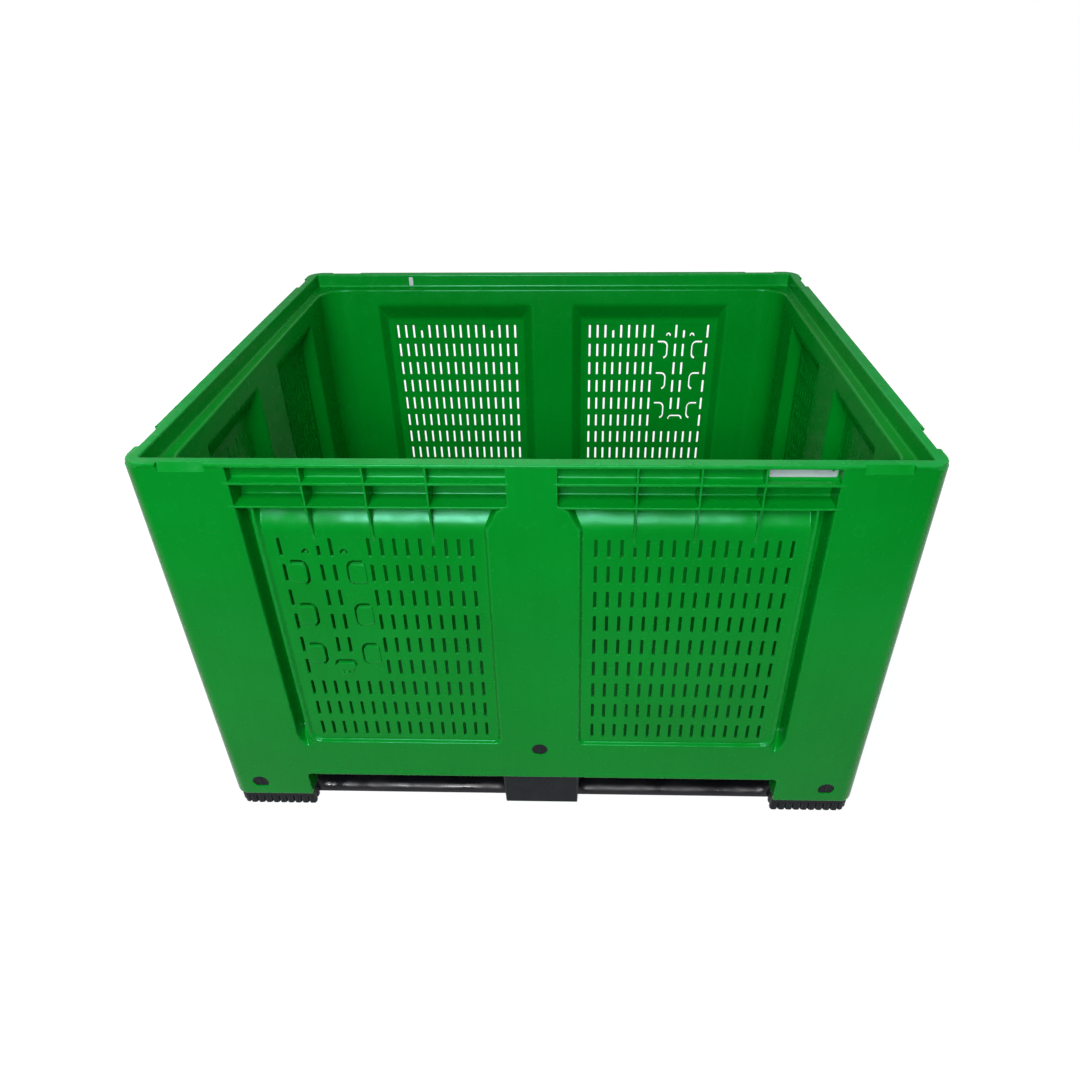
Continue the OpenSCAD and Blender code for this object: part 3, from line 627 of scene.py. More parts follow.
def vent_shape(k, s, us):
    """One slotted panel, with its edges on the columns us of its wall."""
    w = wall_of(k)
    shape = Shape()
    u0, u1 = w.vent
    along = [u for u in us if u0 <= u <= u1]
    rims = [border(along, sorted(z for z in zs if VENT_LOW <= z <= VENT_HIGH)) for zs in (OUTER_Z, INNER_Z)]
    depths = (PANEL_IN, PANEL_BACK)
    lift = (0, REAR_LIFT if k == REAR else 0)
    loops, pads = vent_loops(w, k % 2 == 0 and s < 0)
    loops = [loop + lift for loop in loops]
    pads = [(pad + lift, [m + lift for m in marks]) for pad, marks in pads]

    def put(flat, t):
        return place(k, s, flat[:, 0], t - lean(flat[:, 1]), flat[:, 1], OUTER_R)

    for rim, t, grow in zip(rims, depths, (SLOT_ROUND, SLOT_ROUND_IN)):
        flat, faces = fill([rim] + [offset(loop, grow) for loop in loops])
        shape.add(put(flat, t), faces)
    for loop in loops:
        steps = ((SLOT_ROUND, PANEL_IN), (0.2, PANEL_IN + 0.25), (0, PANEL_IN + 0.9),
                 (0, PANEL_BACK - SLOT_ROUND_IN), (SLOT_ROUND_IN, PANEL_BACK))
        pressed(shape, put, loop, steps)
    for axis, value in ((0, u0), (0, u1), (1, VENT_LOW), (1, VENT_HIGH)):
        pair = []
        for rim, t in zip(rims, depths):
            side = rim[np.abs(rim[:, axis] - value) < 1e-6]
            pair.append(put(side[np.argsort(side[:, 1 - axis])], t))
        shape.polygon(join([pair[0], pair[1][::-1]]))
    # The lower ends of the gussets
    for r in w.ribs:
        rings = []
        for z in np.linspace(VENT_HIGH, GUSSET_Z, 5):
            depth = [PANEL_IN + 1 if d == AWAY else min(gusset(z) + d, PANEL_IN + 0.9) for _, d in TAIL]
            rings.append(place(k, s, [r + x for x, _ in TAIL], depth, z, OUTER_R))
        shape.rings(rings, (0, -1))
    top = PANEL_IN - TAB_PROUD
    for pad, marks in pads:
        steps = ((0.2, PANEL_IN + 0.6), (0, top + 1), (-0.3, top + 0.3), (-1, top))
        last = pressed(shape, put, pad, steps, (0,))[-1]
        flat, faces = fill([last] + [offset(m, 0.4) for m in marks])
        shape.add(put(flat, top), faces)
        for m in marks:
            pressed(shape, put, m, ((0.4, top), (0, top + 0.5), (-0.2, top + 2)), (-1,))
    return shape


MID_HOLE = arc(0, MID_HOLE_Z, HOLE_R, 0, 345, 23)
LEG_HOLE = arc(LONG.half - LEG_HOLE_U, LEG_HOLE_Z, LEG_HOLE_R, -50, 230, 22)
CLIP_IN, CLIP_DEEP, CLIP_BAR, CLIP_BAR_H = 1.8, 9, 1.3, 9


def clip_shape():
    """The heads of the eight clips, each with an upright bar."""
    shape = Shape()
    places = [(k, 1, MID_HOLE, MID_FACE) for k in range(4)]
    places += [(k, s, LEG_HOLE, LIP_PROUD) for k in (FRONT, REAR) for s in (-1, 1)]
    for k, s, loop, t in places:
        put = on_wall(k, s)
        u, z = (loop.min(0) + loop.max(0)) / 2
        front = t + CLIP_IN
        head = ((-0.2, t + CLIP_DEEP), (-0.2, front + 0.6), (-0.6, front + 0.2), (-1.6, front))
        pressed(shape, put, loop, head, (0, -1))
        bar = round_box(u - CLIP_BAR, z - CLIP_BAR_H, u + CLIP_BAR, z + CLIP_BAR_H, 1, 3)
        pressed(shape, put, bar, ((0, front + 1), (0, front - 0.8), (-0.3, front - 1.1)), (0, -1))
    return shape


def hole_face(shape, put, rim, loop, t):
    """A flat face with a clip hole: its rounded edge, its wall and its back."""
    steps = ((0.8, t), (0.2, t + 0.3), (0, t + 0.9), (0, t + HOLE_DEEP))
    hole = pressed(shape, put, loop, steps, (-1,))[0]
    flat, faces = fill([rim, hole])
    shape.add(put(flat, t), faces)


def wall_shape(k):
    """A whole wall between its seams, without its vent panels."""
    w = wall_of(k)
    us = half_columns(w)
    shape = Shape()
    o0, o1 = outer_row(VENT_LOW), outer_row(VENT_HIGH)
    i0, i1 = inner_row(VENT_HIGH), inner_row(VENT_LOW)
    j0, j1 = us.index(w.vent[0]), us.index(w.vent[1])
    h0, jh = outer_row(HOLE_LOW), us.index(HOLE_FLAT)

    def skip(i, j):
        in_vent = (o0 <= i < o1 or i0 <= i < i1) and j0 <= j < j1
        return in_vent or (h0 <= i < o0 and j < jh)

    for s in (-1, 1):
        p = section(k, s, us)
        shape.grid(p, skip)
        shape.polygon(p[:, -1])
        front, back = p[o0:o1 + 1, j0:j1 + 1], p[i0:i1 + 1, j0:j1 + 1]
        for a, b in ((front[:, 0], back[:, 0]), (front[:, -1], back[:, -1]),
                     (front[0], back[-1, ::-1]), (front[-1], back[0, ::-1])):
            shape.polygon(join([a, b]))
    zs = [z for z in OUTER_Z if HOLE_LOW <= z <= VENT_LOW]
    side = [u for u in us if u <= HOLE_FLAT]
    rim = border([-u for u in side[:0:-1]] + side, zs)
    put = on_wall(k, 1)
    hole_face(shape, put, rim, MID_HOLE, MID_FACE)
    gate_mark(shape, put, 0, MID_FACE)
    return shape


def leg_outline(k):
    """Plan of the leg between wall k and the next, counter-clockwise."""
    here, there, after = wall_of(k), wall_of(k + 1), (k + 1) % 4

    def side(wall, s, us, ts, radius=POST_R):
        return place(wall, s, us, ts, 0, radius)[:, :2]

    soft = ((0, LEG_SOFT), (0.3, 1), (1, 0.3), (LEG_SOFT, 0))
    soft_u, soft_t = (np.array(v) for v in zip(*soft))
    turn = np.linspace(0, EIGHTH_TURN, 9) * POST_R
    inner = np.linspace(0, EIGHTH_TURN, 7) * INNER_R
    return join([
        side(k, 1, here.leg + soft_u, LIP_PROUD + soft_t),
        side(k, 1, here.half - POST_R + turn, LIP_PROUD),
        side(after, -1, there.half - POST_R + turn[-2::-1], LIP_PROUD),
        side(after, -1, there.leg + soft_u[::-1], LIP_PROUD + soft_t[::-1]),
        side(after, -1, [there.leg, *(there.half - INNER_R + inner)], WALL_T, INNER_R),
        side(k, 1, [*(here.half - INNER_R + inner[-2::-1]), here.leg], WALL_T, INNER_R)])


GATE_IN, GATE_Z, GATE_R = 113, 650, 10
# The flat faces among a leg's sides, on its first wall and on the next
FIRST_FACE, NEXT_FACE = 3, 20
LEG_LEVELS = ((SKIRT_Z - LEG_R, 0), (LEG_FACE_Z, 0), (LEG_Z + 2.6, -0.4), (LEG_Z + 1, -1.4), (LEG_Z, -3.2))


def gate_mark(shape, put, u, t):
    """The faint round mark that a moulding gate leaves."""
    loop = arc(u, GATE_Z, GATE_R, 0, 348, 29)
    steps = ((0.3, t + 0.4), (0.1, t - 0.02), (-1.2, t - 0.12), (-3, t - 0.16))
    pressed(shape, put, loop, steps, (0, -1))


def corner_shape(k):
    """The corner post between wall k and the next, with its leg."""
    shape = Shape()
    here, there = wall_of(k), wall_of(k + 1)
    a = section(k, 1, corner_columns(here))
    b = section((k + 1) % 4, -1, corner_columns(there)[::-1])
    p = join([a, b[:, 1:]], 1)
    shape.grid(p)
    shape.polygon(p[:, 0])
    shape.polygon(p[:, -1])
    # The leg, with a hole for its clip in the front or the rear face
    wall, s, face = (k, 1, FIRST_FACE) if k % 2 == 0 else ((k + 1) % 4, -1, NEXT_FACE)
    shape.prism(leg_outline(k), LEG_LEVELS, ((0, face),))
    rim = border((LONG.leg + LEG_SOFT, LONG.half - POST_R), (LEG_FACE_Z, SKIRT_Z - LEG_R))
    put = on_wall(wall, s)
    hole_face(shape, put, rim, LEG_HOLE, LIP_PROUD)
    gate_mark(shape, put, LONG.half - GATE_IN, LIP_PROUD)
    return shape


# Feet and planks of the runners, drawn in u and t of the front wall
FOOT_HALF, FOOT_IN, FOOT_REACH, FOOT_TOP, FOOT_NECK_Z, FOOT_R = 74, 12, 129, 100, 60, 6
PLANK_IN, PLANK_TOP, PLANK_FLARE, PLANK_R, PLANK_EDGE = 34, 22, 24, 14, 3
# How far a plank reaches into a middle foot and past its ends, and half a middle plank's width
PLANK_LAP, PLANK_PAST, MIDDLE_PLANK = 9, 1, 50
SHOE_IN, SHOE_STEP, SHOE_CHAMFER, REED_PITCH, REED_H, REED_T = 5, 0.5, 8, 14.2, 20, 4.6
# What stands inside the box keeps clear of the wall
CLEAR_T = WALL_T + 2
SOFT_LEVELS = ((0, -2), (0.4, -0.8), (1.4, 0))


def soft_levels(z0, z1):
    """Heights of a solid with rounded ends."""
    return [(z0 + z, d) for z, d in SOFT_LEVELS] + [(z1 - z, d) for z, d in SOFT_LEVELS[::-1]]


def reeded(path):
    """An open path, with its solid on the left, cut into rounded reeds."""
    path = np.asarray(path, float)
    step = np.linalg.norm(np.diff(path, axis=0), axis=1)
    at = join([[0], np.cumsum(step)])
    count = int(round(at[-1] / REED_PITCH))
    pitch = at[-1] / count
    reed = [(0.02, 1), (0.06, 0.55), (0.13, 0.28), (0.24, 0.09), (0.38, 0.02)]
    reed += [(0.5, 0)] + [(1 - x, y) for x, y in reed[::-1]]
    out = []
    for i in range(count):
        for share, deep in reed:
            along = (i + share) * pitch
            j = min(int(np.searchsorted(at, along, side="right")) - 1, len(step) - 1)
            ahead = (path[j + 1] - path[j]) / step[j]
            inwards = np.array((-ahead[1], ahead[0]))
            out.append(path[j] + ahead * (along - at[j]) + deep * REED_T * inwards)
    return np.array(out)


def shoe(shape, turn):
    """The reeded shoe at the right end of the front runner, and the block above it."""
    h, d = LONG.half, SHORT.half
    x0, x1, y0, y1 = h - LEG_W, h - SHOE_IN, SHOE_IN - d, LEG_W - d
    r = POST_R - SHOE_IN
    outer = join([[(x0, y0)], arc(x1 - r, y0 + r, r, 270, 360, 8), [(x1, y1)]])
    inner = np.array([(x1, y1), (x0, y1), (x0, y0)])
    plain = join([outer, [(x0, y1)]])
    reeds = join([reeded(outer), reeded(inner)])
    shape.prism(turn(reeds), [(0, -0.8), (0.7, 0), (REED_H + SHOE_STEP, 0)])
    shape.prism(turn(plain), soft_levels(REED_H, LEG_Z))
    b0, b1, c0, c1 = x0 + SHOE_STEP, h - CLEAR_T, CLEAR_T - d, y1 - SHOE_STEP
    front = [(b0 + SHOE_CHAMFER, c0), (b1 - SHOE_CHAMFER, c0), (b1, c0 + SHOE_CHAMFER)]
    back = np.array([(b1, c1), (b0, c1), (b0, c0 + SHOE_CHAMFER)])
    block = join([front, reeded(back)])
    shape.prism(turn(block), [(REED_H, 0), (FOOT_TOP, 0)])


def plank(shape, turn, u0, u1, t0, t1):
    """A plank between two feet, whose top curves up to them."""
    r, e = PLANK_R, PLANK_EDGE
    flare = np.linspace(0, PLANK_FLARE, 9)
    between = np.linspace(PLANK_FLARE, u1 - u0 - PLANK_FLARE, 3)
    us = np.unique(join([flare, between, u1 - u0 - flare]))
    loops = []
    for u in us:
        near = max(PLANK_FLARE - min(u, u1 - u0 - u), 0)
        rise = PLANK_FLARE - math.sqrt(PLANK_FLARE ** 2 - near ** 2)
        top = PLANK_TOP + rise
        ring = join([arc(t0 + e, e, e, 180, 270, 3), arc(t1 - e, e, e, 270, 360, 3),
                     arc(t1 - e, top - e, e, 0, 90, 3), arc(t0 + r, top - r, r, 90, 180, 10)])
        flat = turn(np.column_stack([np.full(len(ring), u0 + u), ring[:, 0]]))
        loops.append(np.column_stack([flat, ring[:, 1]]))
    shape.look = 1
    shape.rings(loops, (0, -1))
    shape.look = 0


def wall_turn(k):
    """Turns plan points drawn in u and t of a wall into the bin's frame."""
    def turn(points):
        p = np.asarray(points, float)
        return place(k, 1, p[:, 0], p[:, 1], 0, OUTER_R)[:, :2]
    return turn


# A mid foot narrows downwards from a low collar
FOOT_LEVELS = ((0, -5.8), (0.5, -4.6), (1.6, -4), (SKIRT_Z - 7.5, -1), (SKIRT_Z - 7, -0.2),
               (SKIRT_Z - 1.5, 0), (SKIRT_Z - 0.3, -0.8))


def mid_foot(shape, k):
    turn = wall_turn(k)
    for front, levels in ((FOOT_IN, FOOT_LEVELS), (CLEAR_T, [(FOOT_NECK_Z, 0), (FOOT_TOP, 0)])):
        shape.prism(turn(round_box(-FOOT_HALF, front, FOOT_HALF, FOOT_REACH, FOOT_R)), levels)


def end_turn(side, spin):
    """Turns plan points of the front right shoe into those of another."""
    def turn(points):
        p = np.asarray(points, float) * (side * spin, spin)
        return p if side > 0 else p[::-1]
    return turn


def plank_ends(side, end):
    """The span of a plank from a middle foot to its other end."""
    low, high = sorted((side * (FOOT_HALF - PLANK_LAP), side * end))
    return low - PLANK_PAST, high + PLANK_PAST


def edge_runner(k):
    """The runner under the front or the rear wall."""
    shape = Shape()
    for side in (-1, 1):
        shoe(shape, end_turn(side, 1 if k == FRONT else -1))
        plank(shape, wall_turn(k), *plank_ends(side, LONG.leg), PLANK_IN, FOOT_REACH)
    mid_foot(shape, k)
    return shape


def middle_runner():
    shape = Shape()
    half = (FOOT_REACH - FOOT_IN) / 2
    for k in (RIGHT, LEFT):
        mid_foot(shape, k)
    shape.prism(round_box(-FOOT_HALF, -half, FOOT_HALF, half, FOOT_R), soft_levels(0, FOOT_TOP))
    for side in (-1, 1):
        ends = plank_ends(side, LONG.half - FOOT_REACH)
        plank(shape, np.asarray, *ends, -MIDDLE_PLANK, MIDDLE_PLANK)
    return shape


def plate_shape(lo, hi, radius, holes=()):
    """A thin plate with round corners and a rounded front."""
    shape = Shape()
    (x0, y0, z0), (x1, y1, z1) = lo, hi
    outline = round_box(x0, z0, x1, z1, radius)
    steps = ((0, y1), (0, y0 + 0.4), (-0.15, y0 + 0.1), (-0.5, y0))

    def at(loop, y):
        return np.column_stack([loop[:, 0], np.full(len(loop), float(y)), loop[:, 1]])

    loops = [(outline, 1)] + [(hole, -1) for hole in holes]
    for loop, sign in loops:
        shape.rings([at(offset(loop, sign * d), y) for d, y in steps])
    for d, y in (steps[0], steps[-1]):
        flat, faces = fill([offset(loop, sign * d) for loop, sign in loops])
        shape.add(at(flat, y), faces)
    return shape


RUBBED_W, RUBBED_TURN = 1.8, 14
# Limits for joining points, removing slivers and dissolving flat edges
WELD, SLIVER, FLAT_ANGLE = 0.02, 0.01, 0.1
SHARP_ANGLE = 38


def mark_rubbed(bm):
    """Marks the narrow faces of outer edges, for wear, and clears the seam marks."""
    layer = bm.faces.layers.float.new("rubbed")
    for f in bm.faces:
        width = 2 * f.calc_area() / f.calc_perimeter()
        if width < RUBBED_W * MM and f.material_index != SEAM_LOOK:
            longest = max(e.calc_length() for e in f.edges)
            sides = [e for e in f.edges if e.is_manifold and e.calc_length() > longest / 2]
            sides = [e for e in sides if all(g.material_index != SEAM_LOOK for g in e.link_faces)]
            turn = sum(e.calc_face_angle_signed() for e in sides)
            f[layer] = float(turn > math.radians(RUBBED_TURN))
    for f in bm.faces:
        if f.material_index == SEAM_LOOK:
            f.material_index = 0


def add_object(name, data):
    obj = bpy.data.objects.new(name, data)
    scene.collection.objects.link(obj)
    return obj


def finish_piece(name, shape, materials, nodes):
    """Makes, cleans and shades the mesh, and rides it on the bin."""
    mesh = bpy.data.meshes.new(name)
    mesh.from_pydata([tuple(c * MM for c in p) for p in shape.points], [], shape.faces)
    mesh.polygons.foreach_set("material_index", shape.looks)
    bm = bmesh.new()
    bm.from_mesh(mesh)
    bmesh.ops.remove_doubles(bm, verts=bm.verts, dist=WELD * MM)
    bmesh.ops.dissolve_degenerate(bm, edges=bm.edges, dist=SLIVER * MM)
    bmesh.ops.recalc_face_normals(bm, faces=bm.faces)
    bmesh.ops.dissolve_limit(bm, angle_limit=math.radians(FLAT_ANGLE), verts=bm.verts, edges=bm.edges,
                             delimit={"MATERIAL"})
    bmesh.ops.triangulate(bm, faces=[f for f in bm.faces if len(f.verts) > 4])
    mark_rubbed(bm)
    bm.to_mesh(mesh)
    bm.free()
    mesh.shade_smooth()
    mesh.set_sharp_from_angle(angle=math.radians(SHARP_ANGLE))
    obj = add_object(name, mesh)
    for material in materials:
        mesh.materials.append(material)
    obj.modifiers.new("weighted", "WEIGHTED_NORMAL").keep_sharp = True
    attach(obj, "root")
    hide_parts(*nodes)


class Material:
    """A node material with short ways to add textures."""

    def __init__(self, name, tree=None):
        if tree is None:
            self.data = bpy.data.materials.new(name)
            self.data.use_nodes = True
            tree = self.data.node_tree
            self.shader = tree.nodes["Principled BSDF"]
        self.tree = tree
        self.coords = self.add("TexCoord")["Object"]

    def add(self, kind, inputs=(), **settings):
        """Adds a node and gives back its outputs."""
        node = self.tree.nodes.new("ShaderNode" + kind)
        for key, value in settings.items():
            setattr(node, key, value)
        for key, value in dict(inputs).items():
            self.plug(node.inputs[key], value)
        return node.outputs

    def plug(self, socket, value):
        if isinstance(value, bpy.types.NodeSocket):
            self.tree.links.new(value, socket)
        else:
            socket.default_value = (*value, 1) if socket.type == "RGBA" else value

    def noise(self, scale, detail=2, stretch=(1, 1, 1)):
        """Noise with scale features to a metre."""
        at = self.add("Mapping", {"Vector": self.coords, "Scale": stretch})[0]
        inputs = {"Vector": at, "Scale": scale, "Detail": detail}
        return self.add("TexNoise", inputs)["Fac"]

    def span(self, value, low, high, to_low=0, to_high=1):
        return self.add("MapRange", {0: value, 1: low, 2: high, 3: to_low, 4: to_high})[0]

    def math(self, operation, a, b):
        return self.add("Math", {0: a, 1: b}, operation=operation)[0]

    def times(self, a, b):
        return self.math("MULTIPLY", a, b)

    def larger(self, a, b):
        return self.math("MAXIMUM", a, b)

    def part(self, vector, axis):
        return self.add("SeparateXYZ", {0: vector})[axis]

    def blend(self, share, a, b):
        return self.add("Mix", {0: share, 6: a, 7: b}, data_type="RGBA")[2]

    def edges(self, low, high):
        """A broken mask on the rubbed edges."""
        edge_mark = self.add("Attribute", attribute_name="rubbed")["Fac"]
        return self.times(edge_mark, self.span(self.noise(90, 3), 0.35, 0.65, low, high))

    def bump(self, height, strength, distance, under=None):
        inputs = {"Height": height, "Strength": strength, "Distance": distance}
        if under is not None:
            inputs["Normal"] = under
        return self.add("Bump", inputs)[0]

    def finish(self, **inputs):
        for key, value in inputs.items():
            self.plug(self.shader.inputs[key.replace("_", " ")], value)
        return self.data


# Colours, in linear light
GREEN_DARK, GREEN_LIGHT, GREEN_FLOW = (0.0, 0.24, 0.013), (0.0, 0.28, 0.018), (0.0, 0.31, 0.024)
# The paler rim green is painted top light, with some wear
GREEN_SCUFF, GREEN_RUBBED, GREEN_LIT_AND_WORN = (0.002, 0.3, 0.028), (0.02, 0.38, 0.07), (0.01, 0.42, 0.065)
GREEN_SHEEN = (0.38, 1, 0.92)
BLACK_DARK, BLACK_LIGHT, BLACK_RUBBED = (0.004, 0.006, 0.008), (0.009, 0.012, 0.014), (0.035, 0.04, 0.045)
PLANK_DARK, PLANK_LIGHT = (0.004, 0.004, 0.006), (0.008, 0.008, 0.011)
WHITE_CLEAN, WHITE_DUSTY, WHITE_RUBBED = (0.6, 0.66, 0.72), (0.5, 0.56, 0.62), (0.42, 0.46, 0.45)
FLOOR_GREY, WHITE = (0.16, 0.17, 0.19), (1, 1, 1)
# Heights in metres where the painted top light and the wear on the rim set in
LIT_WORN_LOW, LIT_WORN_HIGH = 0.74, 0.75


def green_plastic():
    """Satin plastic: soft mottling, flow lines, a fine grain, rubbed edges and a few scuffs."""
    m = Material("green_plastic")
    broad, grain = m.noise(5, 3), m.noise(1500)
    flow = m.noise(1, 3, (70, 70, 5))
    color = m.blend(m.span(broad, 0.3, 0.7), GREEN_DARK, GREEN_LIGHT)
    color = m.blend(m.span(flow, 0.35, 0.75, 0, 0.25), color, GREEN_FLOW)
    scuff = m.times(m.span(m.noise(38, 4), 0.62, 0.72), m.span(m.noise(420, 3), 0.56, 0.66, 0, 0.2))
    color = m.blend(scuff, color, GREEN_SCUFF)
    color = m.blend(m.edges(0.05, 0.3), color, GREEN_RUBBED)
    # Painted top light: the rim's upward faces are made paler as if lit from above, and partly worn pale by
    # stacking
    facing = m.part(m.add("NewGeometry")["True Normal"], "Z")
    top = m.times(m.span(facing, 0.85, 0.97), m.span(m.part(m.coords, "Z"), LIT_WORN_LOW, LIT_WORN_HIGH))
    lit_and_worn = m.times(top, m.span(m.noise(24, 4), 0.3, 0.6, 0.65, 1))
    color = m.blend(lit_and_worn, color, GREEN_LIT_AND_WORN)
    # The hoods are wavier than the flat faces
    tilted = m.times(m.span(facing, 0.1, 0.3), m.span(facing, 0.95, 0.8))
    wave = m.bump(m.noise(17, 2), 0.5, 0.0011)
    sunk = m.bump(m.times(m.noise(15, 1, (1, 1, 0.7)), tilted), 1, 0.004, wave)
    streaks = m.noise(1, 3, (300, 300, 14))
    lines = m.bump(streaks, 0.12, 0.0001, m.bump(flow, 0.12, 0.0003, sunk))
    return m.finish(Base_Color=color, Roughness=m.span(m.noise(60, 4), 0.3, 0.7, 0.2, 0.29),
                    Normal=m.bump(grain, 0.1, 0.00008, lines), Specular_IOR_Level=0.16,
                    Specular_Tint=GREEN_SHEEN)


def black_plastic():
    """Matt recycled plastic with a coarse grain and greyer edges."""
    m = Material("black_plastic")
    color = m.blend(m.span(m.noise(45, 4), 0.3, 0.7), BLACK_DARK, BLACK_LIGHT)
    color = m.blend(m.edges(0.2, 0.7), color, BLACK_RUBBED)
    wave = m.bump(m.noise(40, 2), 0.4, 0.001)
    return m.finish(Base_Color=color, Roughness=m.span(m.noise(200, 3), 0.3, 0.7, 0.44, 0.6),
                    Normal=m.bump(m.noise(1100, 3), 0.25, 0.0004, wave), Specular_IOR_Level=0.12)


def glossy_plank():
    """An extruded plank: near black and shiny, a little wavy."""
    m = Material("glossy_plank")
    color = m.blend(m.span(m.noise(30, 4), 0.3, 0.7), PLANK_DARK, PLANK_LIGHT)
    wave = m.bump(m.noise(1, 2, (12, 9, 9)), 1, 0.008)
    return m.finish(Base_Color=color, Roughness=m.span(m.noise(11, 2), 0.4, 0.6, 0.2, 0.5),
                    Normal=m.bump(m.noise(700, 2), 0.08, 0.0003, wave), Specular_IOR_Level=0.2)


def white_plate():
    """A pale plastic plate, a little dusty towards its edges."""
    m = Material("white_plate")
    color = m.blend(m.span(m.noise(60, 4), 0.35, 0.7), WHITE_CLEAN, WHITE_DUSTY)
    color = m.blend(m.edges(0.2, 0.6), color, WHITE_RUBBED)
    return m.finish(Base_Color=color, Roughness=m.span(m.noise(300, 3), 0.3, 0.7, 0.3, 0.42),
                    Normal=m.bump(m.noise(900, 2), 0.1, 0.0002))


green, black, plank_black, white = green_plastic(), black_plastic(), glossy_plank(), white_plate()

NAMES = ("front", "right", "rear", "left")
CORNERS = ("front_right", "rear_right", "rear_left", "front_left")

for k in range(4):
    halves = [f"{NAMES[k]}_{NAMES[(k + s) % 4]}" for s in (-1, 1)]
    nodes = [f"{kind}_{h}" for kind in ("header", "skirt") for h in halves]
    finish_piece(f"wall_{NAMES[k]}", wall_shape(k), [green],
                 nodes + [f"mid_post_{NAMES[k]}", f"rim_{NAMES[k]}"])
    for s, h in zip((-1, 1), halves):
        finish_piece(f"vent_panel_{h}", vent_shape(k, s, half_columns(wall_of(k))), [green],
                     [f"vent_{h}"])
    finish_piece(f"corner_{CORNERS[k]}", corner_shape(k), [green],
                 [f"corner_post_{CORNERS[k]}"])

skids = {"front": edge_runner(FRONT), "rear": edge_runner(REAR), "middle": middle_runner()}
for name, shape in skids.items():
    finish_piece(f"runner_{name}_skid", shape, [black, plank_black], [f"runner_{name}"])
finish_piece("runner_clip_heads", clip_shape(), [black], ["runner_clips"])

# The plate has a small eye near its top right corner
PLATE_R, TAG_R, EYE_IN, EYE_R = 3, 2, 7, 2.2
plate_lo, plate_hi = (np.array(v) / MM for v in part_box("label_plate"))
eye = arc(plate_hi[0] - EYE_IN, plate_hi[2] - EYE_IN, EYE_R, 0, 330, 11)
plate = plate_shape(plate_lo, plate_hi, PLATE_R, [eye])
finish_piece("label_plate_blank", plate, [white], ["label_plate"])
tag_lo, tag_hi = (np.array(v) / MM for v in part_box("rim_tag"))
finish_piece("rim_tag_blank", plate_shape(tag_lo, tag_hi, TAG_R), [white], ["rim_tag"])

# The deck stays as it is and takes the same finish
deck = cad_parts["floor_deck"].data
deck.materials.clear()
deck.materials.append(green)

# Camera, from a fit of the photograph's edges
SENSOR_MM, IMAGE_PX, FOCAL_PX = 36, 1080, 793.33
CAMERA_AT, CAMERA_SHIFT = (0.06703, -1.49683, 1.29935), (-0.01612, 0.0018)
# Its right, up and back
CAMERA_AXES = (0.99967, 0.02426, -0.00901), (-0.00605, 0.55782, 0.82994), (0.02516, -0.82960, 0.55778)
cam = bpy.data.cameras.new("camera")
cam.sensor_width = SENSOR_MM
cam.lens = FOCAL_PX / IMAGE_PX * SENSOR_MM
cam.shift_x, cam.shift_y = CAMERA_SHIFT
cam_obj = add_object("camera", cam)
cam_obj.matrix_world = Matrix.Translation(CAMERA_AT) @ Matrix(CAMERA_AXES).transposed().to_4x4()
scene.camera = cam_obj

# Floor and studio, in metres. The camera sees the floor as white, less so close to the bin
FLOOR_HALF = 8
NEAR_BIN, FAR_OFF, NEAR_GLOW = 0.75, 1.5, 0.9
# Mirrored, the floor is white behind the bin and dim in front of it
DIM_FROM, DIM_TO, DIM_GLOW = -1.0, -1.4, 0.05


def seen(m):
    """Camera rays, and rays that are reflected or pass through glass."""
    path = m.add("LightPath")
    return path["Is Camera Ray"], m.larger(path["Is Glossy Ray"], path["Is Transmission Ray"])


def floor_material():
    m = Material("studio_floor")
    away = m.add("VectorMath", {0: m.coords}, operation="LENGTH")["Value"]
    camera_ray, mirrored = seen(m)
    behind = m.times(mirrored, m.span(m.part(m.coords, "Y"), DIM_TO, DIM_FROM, DIM_GLOW, 1))
    glow = m.times(m.larger(camera_ray, behind), m.span(away, NEAR_BIN, FAR_OFF, NEAR_GLOW, 1))
    return m.finish(Base_Color=FLOOR_GREY, Roughness=0.9, Specular_IOR_Level=0.0,
                    Emission_Color=WHITE, Emission_Strength=glow)


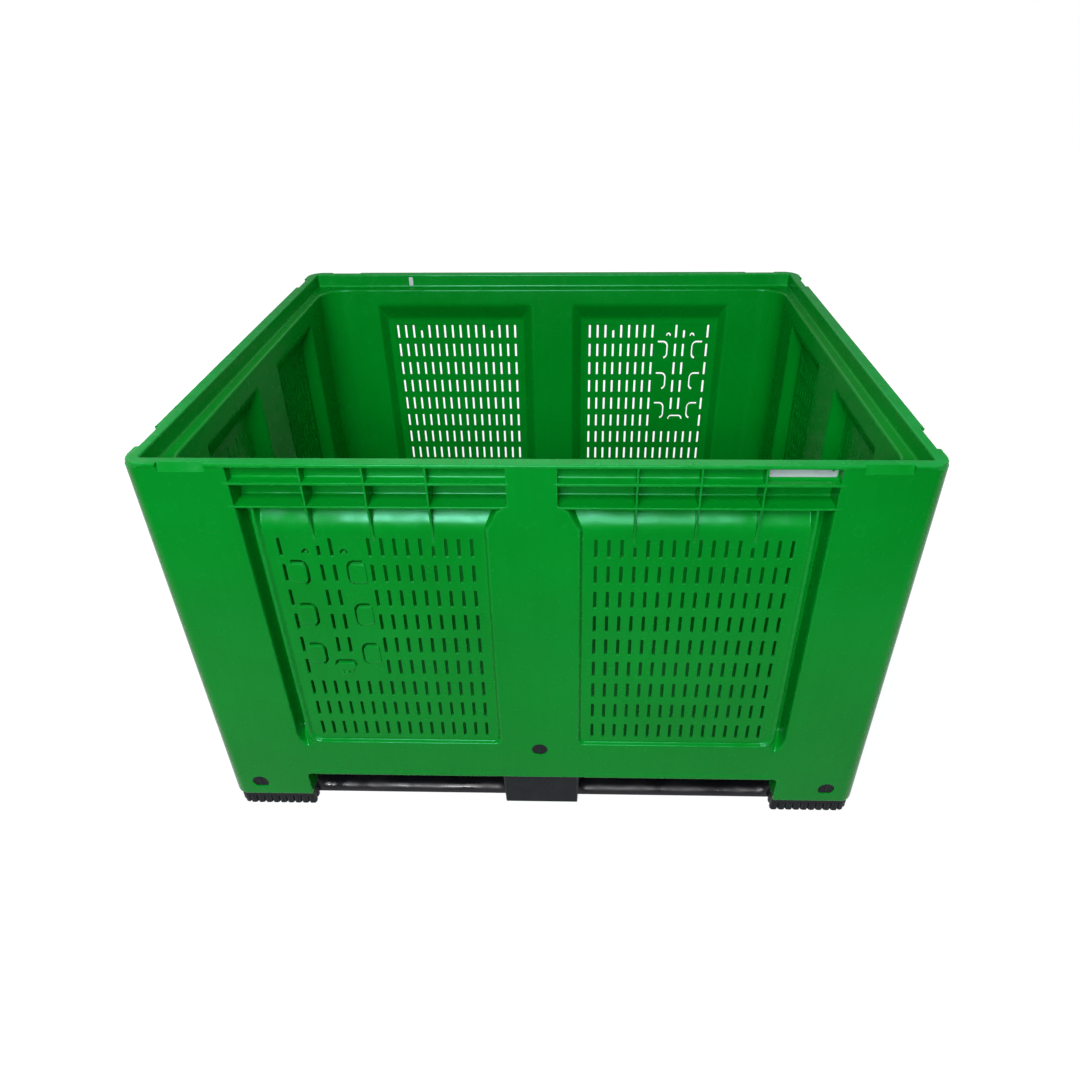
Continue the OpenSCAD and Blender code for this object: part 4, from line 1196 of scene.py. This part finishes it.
floor_mesh = bpy.data.meshes.new("floor")
corners = [(x * FLOOR_HALF, y * FLOOR_HALF, 0) for x, y in ((-1, -1), (1, -1), (1, 1), (-1, 1))]
floor_mesh.from_pydata(corners, [], [(0, 1, 2, 3)])
floor_mesh.materials.append(floor_material())
floor = add_object("floor", floor_mesh)


def soft_box(name, at, aim, size, power):
    light = bpy.data.lights.new(name, "AREA")
    light.shape = "RECTANGLE"
    light.size, light.size_y = size
    light.energy = power
    obj = add_object(name, light)
    obj.location = at
    obj.rotation_euler = (Vector(aim) - Vector(at)).to_track_quat("-Z", "Y").to_euler()
    return obj


# Name, place, aim, size and power of each lamp. The fills light the side walls from behind
LAMPS = (("key", (-0.4, -2.9, 1.95), (0, -0.45, 0.6), (1.7, 0.6), 40),
         ("front", (-0.2, -2.2, 2.75), (0, 0.0, 0.6), (1.6, 1.0), 54),
         ("back", (0, 3.2, 2.8), (0, 0, 0.6), (3, 1.2), 11),
         ("fill_left", (-2.6, 1.9, 0.95), (0, 0.2, 0.45), (1.2, 1.0), 30),
         ("fill_right", (2.6, 1.9, 0.95), (0, 0.2, 0.45), (1.2, 1.0), 30))
# Two cards that are only seen as a sheen
CARDS = (("sheen_left", (-0.58, -3.4, 1.4), (0, -0.5, 0.6), (0.9, 1.0), 150),
         ("sheen_right", (0.4, -3.4, 1.4), (0, -0.5, 0.6), (0.8, 1.0), 50))
for lamp in LAMPS:
    soft_box(*lamp)
for card in CARDS:
    soft_box(*card).visible_diffuse = False

# The sky lights the bin weakly. It is seen as white; mirrored, it is white low down and dim overhead
AMBIENT, OVERHEAD = 0.12, 0.15
LOW_SKY, HIGH_SKY = 0.04, 0.2
world = bpy.data.worlds.new("world")
world.use_nodes = True
scene.world = world
sky = Material("sky", world.node_tree)
height = sky.part(sky.add("TexCoord")["Generated"], "Z")
white_low = sky.span(height, LOW_SKY, HIGH_SKY, 1, OVERHEAD)
camera_ray, mirrored = seen(sky)
dim = sky.add("Mix", {0: mirrored, 2: AMBIENT, 3: white_low})[0]
background = world.node_tree.nodes["Background"]
sky.plug(background.inputs["Color"], WHITE)
sky.plug(background.inputs["Strength"], sky.larger(camera_ray, dim))
scene.view_settings.view_transform = "Standard"
